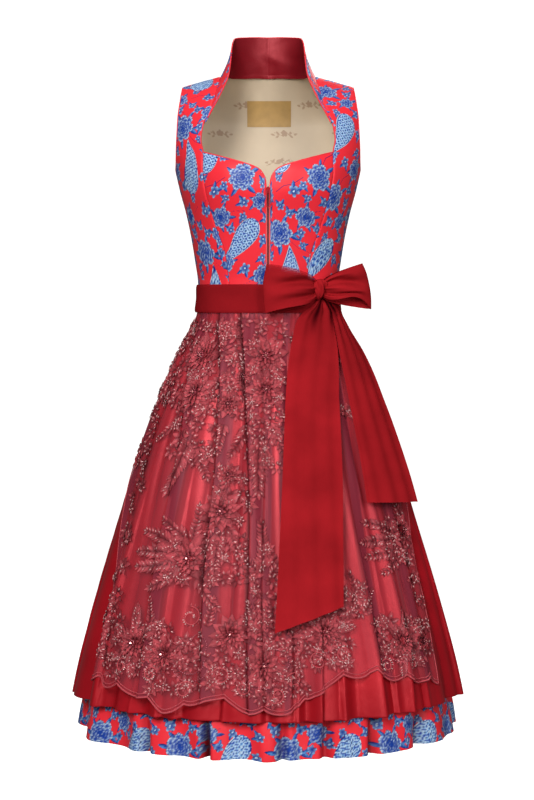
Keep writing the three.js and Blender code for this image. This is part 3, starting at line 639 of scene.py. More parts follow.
def print_cotton():
    """Coral cotton with a low sheen, its figures taken from the cloth's layers, with painted shade in deep
    folds.
    """
    f = Finish("print_cotton")
    ground = f.mix(f.between(f.noise(18.0), 0.35, 0.65), CORAL * 0.93, CORAL)
    figures = f.mix(f.below(f.attribute("motif"), 0.22), ground, f.attribute("ink", "Color"))
    both = f.mix(f.math("MULTIPLY", f.below(f.attribute("line"), 0.2), 0.75), figures, NAVY)
    # Painted shade where the deep layer says a fold is deep.
    f.set(Base_Color=f.mix(f.attribute("deep"), both, PRINT_SHADE), Roughness=0.4)
    f.set(Specular_IOR_Level=0.2, Normal=weave(f, 260.0, 0.12))
    return f.material


def satin(name, base, rough):
    """Dark satin, slightly crushed, with a red shine that is longer across the threads."""
    f = Finish(name)
    tone = f.tones(base, 0.85, 1.12, 9.0, 2.0)
    crush = f.bump(f.noise(34.0), 0.16, 0.005)
    f.set(Base_Color=tone, Roughness=rough, Metallic=0.25, Anisotropic=0.4)
    f.set(Specular_IOR_Level=0.42, Normal=weave(f, 300.0, 0.06, crush))
    f.tint(1, 0.6, 0.62)
    return f.material


def organza():
    """Matt close organza, with painted shade where it lies deep, and see-through where its layer says sheer.
    """
    f = Finish("sash_organza")
    # Painted shade blended in by the deep layer.
    tone = f.mix(f.attribute("deep"), f.tones(ORGANZA_RED, 0.8, 1.1, 14.0), ORGANZA_SHADE)
    f.set(Base_Color=tone, Roughness=0.6, Specular_IOR_Level=0.0, Normal=weave(f, 420.0, 0.18))
    return f.see_through(f.math("SUBTRACT", 1.0, f.attribute("sheer"))).material


# The net's holes to a metre, and the width of a row of thread in metres.
NET_HOLES = 1300.0
THREAD_ROW = 0.0021


def tulle():
    """Sheer net: a mesh of small holes that lets what lies behind show, closer where a pleat doubles it, and
    with painted shade, a dark and closer net, in a pleat's depth."""
    f = Finish("apron_lace")
    edges = {"feature": "DISTANCE_TO_EDGE"}
    holes = f.node("ShaderNodeTexVoronoi", 0, edges, Vector=f.on_cloth(), Scale=NET_HOLES)
    net = f.between(holes, 0.05, 0.25, 0.26, 0.2)
    doubled, deep = f.attribute("doubled"), f.attribute("deep")
    close = f.math("ADD", net, f.math("MULTIPLY", doubled, 0.42))
    # Painted shade: in a pleat's depth the net turns dark and nearly closed.
    cover = f.math("MAXIMUM", close, f.math("MULTIPLY", deep, 0.78))
    tone = f.mix(deep, f.mix(doubled, NET_ROSE, NET_DOUBLED), NET_SHADE)
    f.set(Base_Color=tone, Roughness=0.5, Specular_IOR_Level=0.2)
    return f.see_through(cover).material


def thread_cloth():
    """Satin thread in slanted rows, like the barbs of a feather, darker in between. Its tone layer carries
    painted shade towards each leaf's root and edges and in the apron's pleat troughs.
    """
    f = Finish("applique")
    along, across = (f.node("ShaderNodeSeparateXYZ", way, Vector=f.on_cloth()) for way in (0, 1))
    slant = f.math("ADD", along, f.math("ABSOLUTE", across))
    row = f.math("SINE", f.math("MULTIPLY", slant, 2 * np.pi / THREAD_ROW))
    # Painted shade and each leaf's own random tone both come from the thread's tone layer.
    tone = f.mix(f.attribute("vein"), ROSE_DARK_AND_SHADE, DUSTY_ROSE)
    darkened = {"data_type": "RGBA", "blend_type": "MULTIPLY"}
    tone = f.node("ShaderNodeMix", 2, darkened, i0=1.0, i6=tone, i7=f.between(row, -1, 0.4, 0.6, 1.0))
    f.set(Base_Color=tone, Roughness=0.32, Specular_IOR_Level=0.5, Normal=f.bump(row, 0.5, 0.0005))
    f.tint(1, 0.52, 0.54)
    return f.material


def cream_lining():
    """Cream cloth with faint brown sprigs."""
    f = Finish("lining")
    sprig = f.math("MULTIPLY", f.below(f.attribute("motif"), 0.5), 0.6)
    tone = f.mix(sprig, f.tones(CREAM, 0.94, 1.0, 30.0), BROWN)
    f.set(Base_Color=tone, Roughness=0.55, Normal=weave(f, 220.0, 0.15))
    return f.material


def plain(name, base, rough, metal=0.0, coat=0.0):
    """A finish of one colour that drifts a little, with a fine grain."""
    f = Finish(name)
    tone = f.tones(base, 0.9, 1.08, 60.0)
    f.set(Base_Color=tone, Roughness=rough, Metallic=metal, Coat_Weight=coat)
    f.set(Normal=f.bump(f.noise(500.0), 0.1, 0.0004))
    return f.material


def crystal():
    """Cut glass with a rose mirror behind it."""
    f = Finish("rhinestone")
    f.set(Base_Color=colour(206, 128, 128), Roughness=0.22, Metallic=0.8, Coat_Weight=0.3)
    return f.material


PRINT = print_cotton()
SATIN = satin("satin", DARK_SATIN, 0.36)
FACING = satin("collar_satin", colour(124, 12, 24), 0.45)
ORGANZA = organza()
TULLE = tulle()
THREAD = thread_cloth()
LINING = cream_lining()
LABEL = plain("label_tape", TAN, 0.6)
BEAD = plain("bead_glass", colour(186, 84, 98), 0.15, 0.3, 0.8)
# Bugle glass, its near-white colour partly the beads' own and partly a painted glint.
BUGLE = plain("bugle_glass_and_glint", colour(255, 206, 204), 0.2, 0.35, 0.6)
RHINESTONE = crystal()
ZIP_RED = plain("zip_lacquer", colour(176, 20, 34), 0.25, 0.2, 0.8)
ZIP_TEETH = plain("zip_teeth_red", colour(120, 12, 24), 0.4)
ZIP_TAPE = plain("zip_tape_cloth", colour(96, 10, 20), 0.7)
# The zip's turned edges: coral, made paler as a painted highlight along them.
ZIP_EDGE_CORAL_AND_HIGHLIGHT = plain("zip_edge", colour(240, 96, 96), 0.3, 0, 0.3)
PIPING = plain("piping", CORAL * 0.95, 0.4)

# The bodice: the spacing of its points in front and behind, in mm.
FINE = 1.55
COARSE = 2.6

# The side front: step, x and z of its inner edge, x and z of its outer edge.
SIDE_FRONT = np.array([
    [0, 63, -357.7, 118, -357.7],
    [1, 71, -288, 126, -288],
    [2, 87, -241, 135, -236],
    [3, 103, -185, 151, -192],
    [4, 108, -150, 157, -156],
    [5, 107.6, -119, 154.6, -132],
    [6, 111, -98, 153.5, -106],
    [7, 108, -77, 152, -80],
    [8, 100, -56, 150.5, -56],
    [9, 92, -35, 148, -34],
    [10, 86, -10, 146, -16],
    [11, 81, 8, 144.5, -6],
    [12, 80, 16, 144, -3],
])
CORNER_STEP = 5
UNDERARM_STEP, UNDERARM_BLEND = 4, 0.3
UNDERARM_Z = -150
ZIP_EDGE_X = 2.6
# One lobe of the neckline: share of the way from the zip to the seam, z.
LOBE = np.array([
    [0, -173], [0.035, -160], [0.1, -150], [0.2, -144], [0.4, -137], [0.6, -131], [0.8, -125], [1, -119],
])
# The centre back's edge: step, x, z.
BACK_EDGE = np.array([
    [0, 42, -357.7], [1, 44, -300], [2, 52, -240], [3, 67, -190], [4, 90, -150], [5, 120, -119],
    [6, 152.5, -98], [7, 151, -60], [8, 148, -30], [9, 145, -10], [10, 144, -3],
])
ARMHOLE_STEP = 6


def side_front(share, step, mirror, out):
    """Straight lines between the two edges at each step, laid on the torso, meeting the shoulder's line and,
    below the arm, the side seam."""
    x = lerp(read(SIDE_FRONT, 1, step), read(SIDE_FRONT, 3, step), share)
    straight = lerp(read(SIDE_FRONT, 2, step), read(SIDE_FRONT, 4, step), share)
    top = len(SIDE_FRONT) - 1
    z = lerp(straight, ridge(x), smoothstep(step, top - 2, top))
    at_seam = share**8 * (1 - smoothstep(step, UNDERARM_STEP, UNDERARM_STEP + UNDERARM_BLEND))
    return torso(mirror * lerp(turn_at(x, z), SIDE, at_seam), z, out)


def centre_front(share, step, mirror, out):
    """From the zip's edge to the seam, with the neckline's lobe growing into it up to the top."""
    seam_z, seam_x = read(SIDE_FRONT, 2, step), read(SIDE_FRONT, 1, step) - SEAM
    low, high = SIDE_FRONT[0, 2], SIDE_FRONT[CORNER_STEP, 2]
    z = lerp(low, read(LOBE, 1, share), (seam_z - low) / (high - low))
    return torso(mirror * turn_at(lerp(ZIP_EDGE_X, seam_x, share), z), z, out)


def back_top(x):
    """The back's top edge: a parabola under the collar, then the shoulder's line."""
    return np.where(np.abs(x) >= NECK_X, ridge(x), lerp(NAPE_Z, ridge(NECK_X), (x / NECK_X) ** 2))


def back_point(share, step, out):
    """The centre back, from edge to edge for shares from 1 to -1."""
    last = BACK_EDGE[-1]
    climb = (read(BACK_EDGE, 2, step) - BACK_EDGE[0, 2]) / (last[2] - BACK_EDGE[0, 2])
    z = lerp(BACK_EDGE[0, 2], back_top(share * last[1]), climb)
    x = share * read(BACK_EDGE, 1, step)
    return torso(back_turn(x, z), z, out)


def side_back(share, step, mirror, out):
    """From the centre back's edge to the side seam. Its top is the back of the armhole."""
    edge = back_point(1.0, step, 0.0)
    seam_turn = np.pi - turn_at(edge[..., 0] + SEAM, edge[..., 2])
    side_z = lerp(WAIST_Z + SEAM, UNDERARM_Z, step / ARMHOLE_STEP)
    z = lerp(edge[..., 2], side_z, share ** lerp(1, 0.7, step / ARMHOLE_STEP))
    return torso(mirror * lerp(seam_turn, SIDE, share), z, out)


# The heights between which the print starts to run over the shoulders.
OVER_SHOULDER_Z = (-70, -30)


def panel(name, node, point, steps, wide, tall, pitch, run, origin, offset):
    """A bodice piece about wide and tall in mm, with its cut edges turned in. The print's u follows the
    cloth from the column at the share origin. Its v is the height, and on the shoulders the way over them
    too. A run of -1 takes the columns the other way, so that the piece faces out."""
    across, sunk_across = places(wide, pitch)
    up, sunk_up = places(tall, pitch)
    across, sunk_across = across[::run], sunk_across[::run]
    sunk = np.maximum(sunk_across[:, None], sunk_up[None, :])
    grid = point(across[:, None], lerp(steps[0], steps[1], up)[None, :], -sunk)
    u = flat_lengths(grid, int(np.argmin(np.abs(across - origin)))) + offset[0]
    shoulder = smoothstep(grid[..., 2], *OVER_SHOULDER_Z)
    over = np.abs(np.diff(grid[..., 1], axis=1, prepend=grid[:, :1, 1])) * shoulder
    v = grid[..., 2] + np.cumsum(over, axis=1) + offset[1]
    made = cloth(name, grid, PRINT, uv=over_cloth(u, v), layers=printed(u, v))
    cut(made, tall * MM, node)


for side, mirror in (("left", 1), ("right", -1)):
    panel(
        "bodice_centre_" + side, "front_centre_" + side,
        lambda share, step, out: centre_front(share, step, mirror, out),
        steps=(0, CORNER_STEP), wide=104, tall=235, pitch=FINE, run=mirror, origin=0, offset=(6 * mirror, 0),
    )
    panel(
        "bodice_side_" + side, "front_side_" + side,
        lambda share, step, out: side_front(share, step, mirror, out),
        steps=(0, len(SIDE_FRONT) - 1), wide=66, tall=392, pitch=FINE, run=mirror, origin=0,
        offset=(96 * mirror, 31),
    )
    panel(
        "bodice_back_side_" + side, "back_side_" + side,
        lambda share, step, out: side_back(share, step, mirror, out),
        steps=(0, ARMHOLE_STEP), wide=110, tall=240, pitch=COARSE, run=-mirror, origin=1,
        offset=(60 * mirror, 12),
    )
panel(
    "bodice_back", "back_centre",
    lambda share, step, out: back_point(1 - 2 * share, step, out),
    steps=(0, len(BACK_EDGE) - 1), wide=300, tall=384, pitch=COARSE, run=1, origin=0.5, offset=(0, 50),
)

# Inside the bodice: a cream lining behind every panel, with a sparse sprig.
LINING_OUT = -3.2
SPRIG_TILE = (112, 96)


def sprigged(u, v):
    """A small spray, three pairs of leaves and an open flower on a waved stem, repeated in a half-drop."""
    drawing = Drawing(u, v, SPRIG_TILE)
    for x, y in ((28, 24), (84, 72)):
        stalk(drawing, [(x + t, y - 3 * np.cos(0.15 * t)) for t in np.linspace(-17, 17, 9)], 0.7)
        for t, way in ((-16, 2.9), (-9, 2.1), (-9, -2.5), (16, 0.25), (9, 1.05), (9, -0.65)):
            leaf(drawing, (x + t, y - 2), 9, way, 0.4)
        blossom(drawing, (x, y + 1), 6.5, 5, np.pi / 2)
    return {"motif": drawing.motif.reshape(u.shape)}


def lined(name, grid, node=None):
    """A piece of the lining."""
    made = cloth(name, grid, LINING, layers=sprigged(flat_lengths(grid), grid[..., 2]))
    cut(made, 0.33, node)


back_shares = np.linspace(0.995, -0.995, 120)[:, None]
back_steps = np.concatenate([np.linspace(0, 2.8, 10)[:-1], np.linspace(2.8, 9.97, 120)])[None, :]
lined("lining_back_centre", back_point(back_shares, back_steps, LINING_OUT), "lining_back")
for side, mirror in (("left", 1), ("right", -1)):
    shares = np.linspace(0.004, 0.996, 30)[::mirror, None]
    from_zip = np.linspace(0, 0.996, 30)[::mirror, None]
    for place, point, across, top_step, count in (
        ("side", side_front, shares, 11.97, 90),
        ("front", centre_front, from_zip, 4.98, 60),
        ("back", side_back, shares[::-1], 5.97, 50),
    ):
        steps = np.linspace(0, top_step, count)[None, :]
        lined("lining_%s_%s" % (place, side), point(across, steps, mirror, LINING_OUT))

# The collar: x and z of its foot, whether that is in front, and x, y and z of its top edge.
COLLAR = np.array([
    [0, 25, -1, 0, 68, 89],
    [22, 24.4, -1, 22, 65, 89],
    [45, 22.2, -1, 42, 55, 87],
    [62, 19.6, -1, 56, 42, 84],
    [74, 17.3, -1, 60, 26, 77],
    [80, 15.9, 1, 62, 8, 64],
    [81, 8, 1, 63.5, -10, 42],
    [86, -10, 1, 67, -36, 12],
    [92, -35, 1, 79, -60, -20],
    [99, -54, 1, 89, -72, -41],
    [106, -72, 1, 104, -83, -69],
])


def through(points, count):
    """A smooth run of points through others, spaced by their distance: Catmull-Rom cubics in each span."""
    points = np.array(points, float)
    gaps = np.linalg.norm(np.diff(points, axis=0), axis=1) ** 0.5
    knots = np.concatenate([[0], np.cumsum(gaps)])
    at = np.linspace(0, knots[-1], count)
    slope = np.diff(points, axis=0) / gaps[:, None]
    tangent = np.concatenate([slope[:1], (slope[:-1] + slope[1:]) / 2, slope[-1:]])
    i = np.clip(np.searchsorted(knots, at, side="right") - 1, 0, len(gaps) - 1)
    h = gaps[i][:, None]
    t = (at[:, None] - knots[i][:, None]) / h
    return hermite(t, h, points[i], points[i + 1], tangent[i], tangent[i + 1])


def collar_lines(count):
    """The collar's foot and top edge, from its left front end round the back to its right one."""
    x, z, front = COLLAR[:, 0], COLLAR[:, 1], COLLAR[:, 2] > 0
    foot = torso(np.where(front, turn_at(x, z), back_turn(x, z)), z)
    axis = np.stack([0 * x, 0 * x + 15, foot[:, 2]], axis=-1) - foot
    foot = foot + 0.9 * axis / np.linalg.norm(axis, axis=1, keepdims=True) + [0, 0, 0.3]
    top = COLLAR[:, 3:]
    flip = np.array([-1, 1, 1])
    return [through(np.concatenate([line[::-1], line[1:] * flip]), count) for line in (foot, top)]


COLLAR_COLUMNS = 240
COLLAR_HOLLOW = 2.5
COLLAR_WALL = 2.1
foot, top = collar_lines(COLLAR_COLUMNS)
rises = np.concatenate([[0.0], np.linspace(0.005, 1, 46)])
collar = foot[:, None] + (top - foot)[:, None] * rises[None, :, None]
hollow = COLLAR_HOLLOW * np.sin(np.pi * rises)[None, :, None] * normals(collar)
collar = collar - hollow * np.clip((collar[..., 1:2] + 20) / 60, 0, 1)
inward = normals(collar)
edge = np.linspace(0, np.pi, 7)[1:]
roll = collar[:, -1:] - inward[:, -1:] * (1 - np.cos(edge))[None, :, None]
rolled_up = np.array([0, 0, 1.0]) * np.sin(edge)[None, :, None]
outer = np.concatenate([collar, roll + rolled_up], axis=1)
u, v = flat_lengths(outer, COLLAR_COLUMNS // 2) + 30, outer[..., 2] + 40
made = cloth("stand_collar", outer, PRINT, uv=over_cloth(u, v), layers=printed(u, v))
cut(made, 0.07, "collar")

# Its satin facing, a little crushed, tucked in behind and with a seam at centre back.
inner = collar - inward * COLLAR_WALL
tuck = smoothstep(foot[:, 1:2], -10, 30)
inner[:, 0] -= tuck * (1.8 * inward[:, 0] + [0, 0, 5])
inner = inner[::-1]
crush = 0.7 * np.sin(inner[..., 0] / 9 + 1.3 * np.sin(inner[..., 2] / 8)) * np.sin(np.pi * rises)
seam = 0.8 * np.exp(-((inner[..., 0] / 1.6) ** 2)) * (inner[..., 1] > 40)
inner = inner + (crush - seam)[..., None] * normals(inner)
made = cloth("collar_lining_satin", inner, FACING)
cut(made, 0.07, "collar_facing")


def tube(path, radius, sides=8):
    """A round cord along a path: rings of points at right angles to it, closed to a point at both ends."""
    way = np.gradient(path, axis=0)
    way /= np.linalg.norm(way, axis=1, keepdims=True)
    up = np.where(np.abs(way[:, 2:]) > 0.8, [[0.0, 1.0, 0.0]], [[0.0, 0.0, 1.0]])
    first = np.cross(way, up)
    first /= np.linalg.norm(first, axis=1, keepdims=True)
    second = np.cross(way, first)
    angle = np.linspace(0, 2 * np.pi, sides, endpoint=False)
    size = np.full(len(path), float(radius))
    size[[0, -1]] = 1e-3
    ring = np.cos(angle)[:, None, None] * first + np.sin(angle)[:, None, None] * second
    grid = path[None] + ring * size[None, :, None]
    return grid.reshape(-1, 3), grid_faces(sides, len(path), True)[:, ::-1]


def together(parts):
    """Several lots of points and faces as one."""
    starts = np.cumsum([0] + [len(points) for points, faces in parts[:-1]])
    return (
        np.concatenate([points for points, faces in parts]),
        np.concatenate([faces + start for (points, faces), start in zip(parts, starts)]),
    )


# Piping: a thin turned edge along the neckline, the collar and the zip, and round each armhole.
PIPING_RADIUS = 1.15
PIPING_OUT = -0.9


def piping(name, path, radius=PIPING_RADIUS, material=PIPING):
    """A turned edge as a cord along a path."""
    points, faces = tube(path, radius)
    piece(name, points, faces, material, uv=points[:, :2])


for side, mirror in (("left", 1), ("right", -1)):
    lobe = centre_front(np.linspace(0, 1, 80), CORNER_STEP, mirror, PIPING_OUT)
    strap = side_front(0.0, np.linspace(CORNER_STEP, 7.3, 120), mirror, PIPING_OUT)
    piping("piping_neck_" + side, np.concatenate([lobe, strap[1:]]))
    front = side_front(1.0, np.linspace(4.05, 12, 120), mirror, PIPING_OUT)
    rear = back_point(float(mirror), np.linspace(10, ARMHOLE_STEP, 110), PIPING_OUT)
    under = side_back(np.linspace(0, 1, 60), ARMHOLE_STEP, mirror, PIPING_OUT)
    piping("piping_arm_" + side, np.concatenate([front, rear[1:], under[1:]]))
piping("piping_collar", top[4:-4] - inward[4:-4, -1], 1.2)
# The zip's edges, paler than the print as a painted highlight.
for side, mirror in (("left", 1), ("right", -1)):
    edge_line = centre_front(0.0, np.linspace(0, CORNER_STEP, 90), mirror, -0.5)
    piping("zip_edge_" + side, edge_line, 1.1, ZIP_EDGE_CORAL_AND_HIGHLIGHT)

# The woven label, plain, inside the back.
LABEL_LEFT, LABEL_RIGHT = 41, -37
LABEL_LOW, LABEL_HIGH = -60, -15
x = np.linspace(LABEL_LEFT, LABEL_RIGHT, 30)[:, None]
z = np.linspace(LABEL_LOW, LABEL_HIGH, 16)[None, :]
grid = torso(back_turn(x, z), z, LINING_OUT - 1.0)
made = cloth("woven_label", grid, LABEL)
cut(made, 0.045, "label")

# The skirts. Each runs down the outside, round its hem and a little way up the inside.
HEM_ROLL = 0.9
HEM_TURN = 26
HEM_EDGE = 3


def hemmed(hem_z, top_z, pitch):
    """Heights of a skirt's rows, from inside the hem round its edge and up to the waist, and how far in each
    lies."""
    bend = np.linspace(np.pi, 0, 7)
    inside = np.linspace(hem_z + HEM_TURN, hem_z + HEM_EDGE, 8)
    edge = hem_z + HEM_ROLL - HEM_ROLL * np.sin(bend)
    outside = np.linspace(hem_z + HEM_EDGE, top_z, int((top_z - hem_z) / pitch))
    lie = [0 * inside - 2 * HEM_ROLL, -HEM_ROLL * (1 - np.cos(bend)), 0 * outside]
    return np.concatenate([inside, edge, outside]), np.concatenate(lie)


def wrapped(degrees):
    """The same turn as a number from -180 to 180."""
    return (degrees + 180) % 360 - 180


def stepped(table, degrees, z, sharp):
    """The sum of pleats that each climb slowly over their breadth and then fall over a small part of it."""
    total = 0.0
    for at, depth, breadth, steep in table:
        off = wrapped(degrees - at - 1.5 * np.sin(z / 130 + at)) * steep / breadth
        total = total + depth * smoothstep(off, -1, 0) * (1 - smoothstep(off, 0, sharp))
    return total


# Pressed folds in the lower satin: turn in degrees, depth in mm, breadth in degrees, and the steep side.
PRESSED = [
    (-82, 5, 9, 1), (-58, 6, 8, 1), (-43, 5, 6, -1), (-33, 5, 5, 1), (-26, 6, 6, 1), (-12, 6, 6, -1),
    (-3, 6, 5, 1), (8, 5, 5, -1), (14.5, 6, 5, 1), (21, 5, 6, -1), (34, 6, 6, 1), (40, 5, 4, -1),
    (46, 6, 6, 1), (56, 6, 6, -1), (78, 5, 9, -1), (105, 6, 9, 1), (128, 6, 8, -1), (150, 6, 8, 1),
    (172, 6, 8, -1), (195, 6, 8, 1), (214, 6, 8, -1), (236, 6, 8, 1), (255, 6, 8, -1),
]


# The underskirt's narrow folds: x, depth and spread in mm.
DEEP_FOLDS = [(-103, 30, 7), (-205, 14, 8), (24, 14, 8), (98, 16, 9), (176, 18, 8), (262, 14, 8)]
DEEPEST = 30
# The least room between the underskirt and the satin over it.
UNDER_ROOM = 3.5
# How far the satin's right side stands out, and where and over how many degrees it does.
WING, WING_AT, WING_SPREAD = 10, -84, 17
# How far in the underskirt's hidden part lies, and the print's mm for each radian of turn.
HIDDEN_IN = 6
PRINT_REACH = 292


def under_out(turn, z):
    """How far the underskirt lies outside the smooth skirt: wavy near its hem, with narrow deep folds in
    front, each a bell curve of x. The second value says from 0 to 1 how deep in a fold a place lies, and
    so how much painted shade the print gets there."""
    wave = np.sin(15 * turn + 1.4 * np.sin(4 * turn + 1) + z / 160)
    low = smoothstep(-z, 985, 1075)
    flow = 6.5 * (np.abs(wave) ** 0.7 * np.sign(wave) - 0.25) * low
    x = np.sin(turn) * read(SKIRT, 1, z)
    fold = sum(depth * np.exp(-(((x - at) / spread) ** 2)) for at, depth, spread in DEEP_FOLDS)
    fold = fold * (np.cos(turn) > 0) * low
    return -2.6 - print_fold(turn, z) + flow - fold, np.clip(fold / DEEPEST, 0, 1)


def satin_out(turn, z):
    """How far the satin lies outside the smooth skirt: its folds, fine gathers that die away below the
    waist, slow sags, pressed folds towards the hem, and the wide right side. It stays outside the
    underskirt."""
    gathers = 0.7 * np.sin(83 * turn + 2 * np.sin(5 * turn)) * np.exp((z - WAIST_Z) / 70)
    low, lower = smoothstep(-z, 430, 900), smoothstep(-z, 560, 1000)
    sag = np.sin(13 * turn + z / 90) * low
    folds = 1.9 * stepped(PRESSED, np.degrees(turn), z, 0.13) * lower
    wing = WING * np.exp(-((wrapped(np.degrees(turn) - WING_AT) / WING_SPREAD) ** 2)) * low
    free = satin_fold(turn, z) + gathers + sag + folds - 3 * lower + wing
    return np.maximum(free, under_out(turn, z)[0] + UNDER_ROOM)


def satin_half(side, start):
    """Half of the satin skirt, from one side seam to the other."""
    turns = np.linspace(start, start + np.pi, 340)[:, None]
    z, out = hemmed(SATIN_HEM_Z, WAIST_Z + 8, 7.5)
    grid = skirt(turns, z, satin_out(turns, z) + out)
    uv = over_cloth(flat_lengths(grid, len(turns) // 2), z)
    made = cloth("satin_skirt_" + side, grid, SATIN, uv=uv)
    cut(made, 0.72, "satin_" + side)


def underskirt_half(side, start):
    """Half of the underskirt: fine rows near its hem, and a few further in where the satin hides it."""
    hidden = np.linspace(SATIN_HEM_Z + 25, WAIST_Z + 4, 26)
    z, out = hemmed(PRINT_HEM_Z, hidden[0], 2.2)
    z, out = np.concatenate([z, hidden[1:]]), np.concatenate([out, 0 * hidden[1:] - HIDDEN_IN])
    turns = np.linspace(start, start + np.pi, 430)[:, None]
    lie, deep = under_out(turns, z)
    u, v = np.broadcast_arrays(turns * PRINT_REACH, z)
    # Painted shade in the narrow deep folds.
    layers = printed(u, v) | {"deep": deep}
    grid = skirt(turns, z, lie + out)
    made = cloth("print_underskirt_" + side, grid, PRINT, uv=over_cloth(u, v), layers=layers)
    cut(made, 0.76, "underskirt_" + side)


for side, start in (("front", -SIDE), ("back", SIDE)):
    satin_half(side, start)
    underskirt_half(side, start)

# The apron: z, and its right and left edges in degrees of turn.
APRON_EDGE = np.array([
    [-1010, -63, 61], [-916, -66, 64], [-720, -73, 73], [-600, -80, 79], [-480, -84, 84], [-358, -86, 86],
])
APRON_TOP_Z = -358.3
APRON_LOW_Z = -1000
SCALLOPS = 11
SCALLOP_DEPTH = 12
# The height of the hem's lobes, by share of the way from the right edge to the left one.
APRON_HEM = np.array([
    [0, -988], [0.14, -992], [0.2, -999], [0.27, -1016], [0.32, -1012], [0.375, -993], [0.42, -1003],
    [0.5, -1017], [0.59, -1003], [0.65, -972], [0.75, -962], [0.83, -975], [0.93, -986], [1, -994],
])
# Its own folds: turn in degrees, depth and spread.
APRON_FOLDS = [
    (-70, 7, 5), (-47, 6, 5), (-29, 5, 4), (-5, -8, 3), (2, 7, 4), (24, 6, 5), (37, -6, 3), (46, 7, 4),
    (57, 6, 3),
]
# Overlapping pleats down the apron's length: x at the waist and at the hem, depth, breadth, and the side on
# which each falls, all in mm.
APRON_PLEATS = [
    (-142, -287, 7, 34, 1), (-104, -196, 6, 34, -1), (-66, -102, 12, 44, -1), (-33, -27, 13, 40, -1),
    (-9, -4, 7, 22, -1), (26, 34, 7, 22, 1), (78, 182, 8, 34, -1), (104, 252, 7, 34, -1),
]
PLEAT_FALL = 4
DEEPEST_PLEAT = 13


def apron_pleats(turn, z):
    """The pleats' height in mm, where they double the net, and where they are deep, which gets painted shade,
    both from 0 to 1. Each climbs slowly over its breadth and falls in a few mm beside a shallow trough. Its
    line wavers."""
    x = np.sin(turn) * read(SKIRT, 1, z)
    down = np.clip((z - APRON_TOP_Z) / (APRON_LOW_Z - APRON_TOP_Z), 0, 1)
    height, doubled, deep = 0 * x, 0 * x, 0 * x
    for top_x, low_x, depth, breadth, way in APRON_PLEATS:
        off = (x - lerp(top_x, low_x, down) - 3 * np.sin(z / 75 + top_x)) * way
        fallen = smoothstep(off, 0, PLEAT_FALL)
        height += depth * (smoothstep(off, -breadth, 0) - 0.35) * (1 - fallen)
        height -= 0.35 * depth * fallen * (1 - smoothstep(off, PLEAT_FALL, 0.8 * breadth))
        fall = smoothstep(off, -1, 1.5)
        doubled = np.maximum(doubled, smoothstep(off, -0.5 * breadth, 2 - 0.5 * breadth) * (1 - fall))
        reach = breadth * (0.26 + 0.1 * np.sin(z / 50 + low_x))
        # Painted shade in the trough beside each fall.
        deep = np.maximum(deep, depth / DEEPEST_PLEAT * fall * (1 - smoothstep(off, 2, reach)))
    return height, doubled, deep


def apron_out(turn, z):
    """How far the apron lies outside the smooth skirt. Round its sides it lies on the satin. In front it
    clears the satin's highest folds, with its own gathers near the waist, its own folds, each a bell curve of
    the turn, lower down, and its pleats."""
    flare = smoothstep(-z, -APRON_TOP_Z, -APRON_LOW_Z)
    degrees = np.degrees(turn)
    from_edge = np.minimum(degrees - read(APRON_EDGE, 1, z), read(APRON_EDGE, 2, z) - degrees)
    in_front = smoothstep(from_edge, 0, 11) * (1 - smoothstep(np.abs(degrees), 50, 70) * (1 - flare))
    folds = sum(depth * np.exp(-(((degrees - at) / spread) ** 2) / 2) for at, depth, spread in APRON_FOLDS)
    gathers = 0.5 * read(SKIRT, 4, z) * fold_wave(fold_phase(turn, 34)) * (1 - 0.9 * flare)
    pleats = apron_pleats(turn, z)[0] * smoothstep(-z, 375, 460)
    free = read(SKIRT, 4, z) + gathers + flare * np.maximum(folds + 8, 0) + pleats
    near = satin_out(turn, z)
    return np.maximum(lerp(near, free, in_front), near) + 2 * SEAM + APRON_WALL


def apron_turn(share, z):
    """The turn at a share of the way from the apron's right edge to its left one."""
    return np.radians(lerp(read(APRON_EDGE, 1, z), read(APRON_EDGE, 2, z), share))


def scallop(share):
    """How far the hem rises between its lobes, which hang down round."""
    return SCALLOP_DEPTH * (1 - np.abs(np.cos(np.pi * SCALLOPS * share)))


def apron_surface(turn, z, raised=0.0):
    """A point raised by so many mm over the apron, which has narrow ripples of its own."""
    ripple = 0.8 * np.sin(47 * turn + 1.5 * np.sin(z / 55)) * smoothstep(-z, 380, 520)
    return skirt(turn, z, apron_out(turn, z) + ripple + raised)


# The share of the apron's breadth at which it crosses centre front.
APRON_CENTRE = 0.508
apron_columns, apron_rows = ((340, 150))
share = np.linspace(0, 1, apron_columns)[:, None]
rise = np.linspace(0, 1, apron_rows)[None, :] ** 0.9
hem_line = read(APRON_HEM, 1, share)
z = lerp(hem_line, APRON_TOP_Z + 8, rise) + scallop(share) * (1 - rise) ** 6
turn = apron_turn(share, z)
apron = apron_surface(turn, z)
uv = over_cloth(flat_lengths(apron, int(np.argmin(np.abs(share[:, 0] - APRON_CENTRE)))), z)
# The deep layer paints shade into the pleats' troughs.
doubled, deep = apron_pleats(turn, z)[1:]
made = cloth("lace_apron", apron, TULLE, uv=uv, layers={"doubled": doubled, "deep": deep})
cut(made, 0.66, "apron")


def sewn_cords(name, cords, tone):
    """Thread cords as one piece, all of one tone."""
    points, faces = together(cords)
    layers = {"vein": np.full(len(points), tone)}
    piece(name, points, faces, THREAD, uv=points[:, [2, 0]], layers=layers)


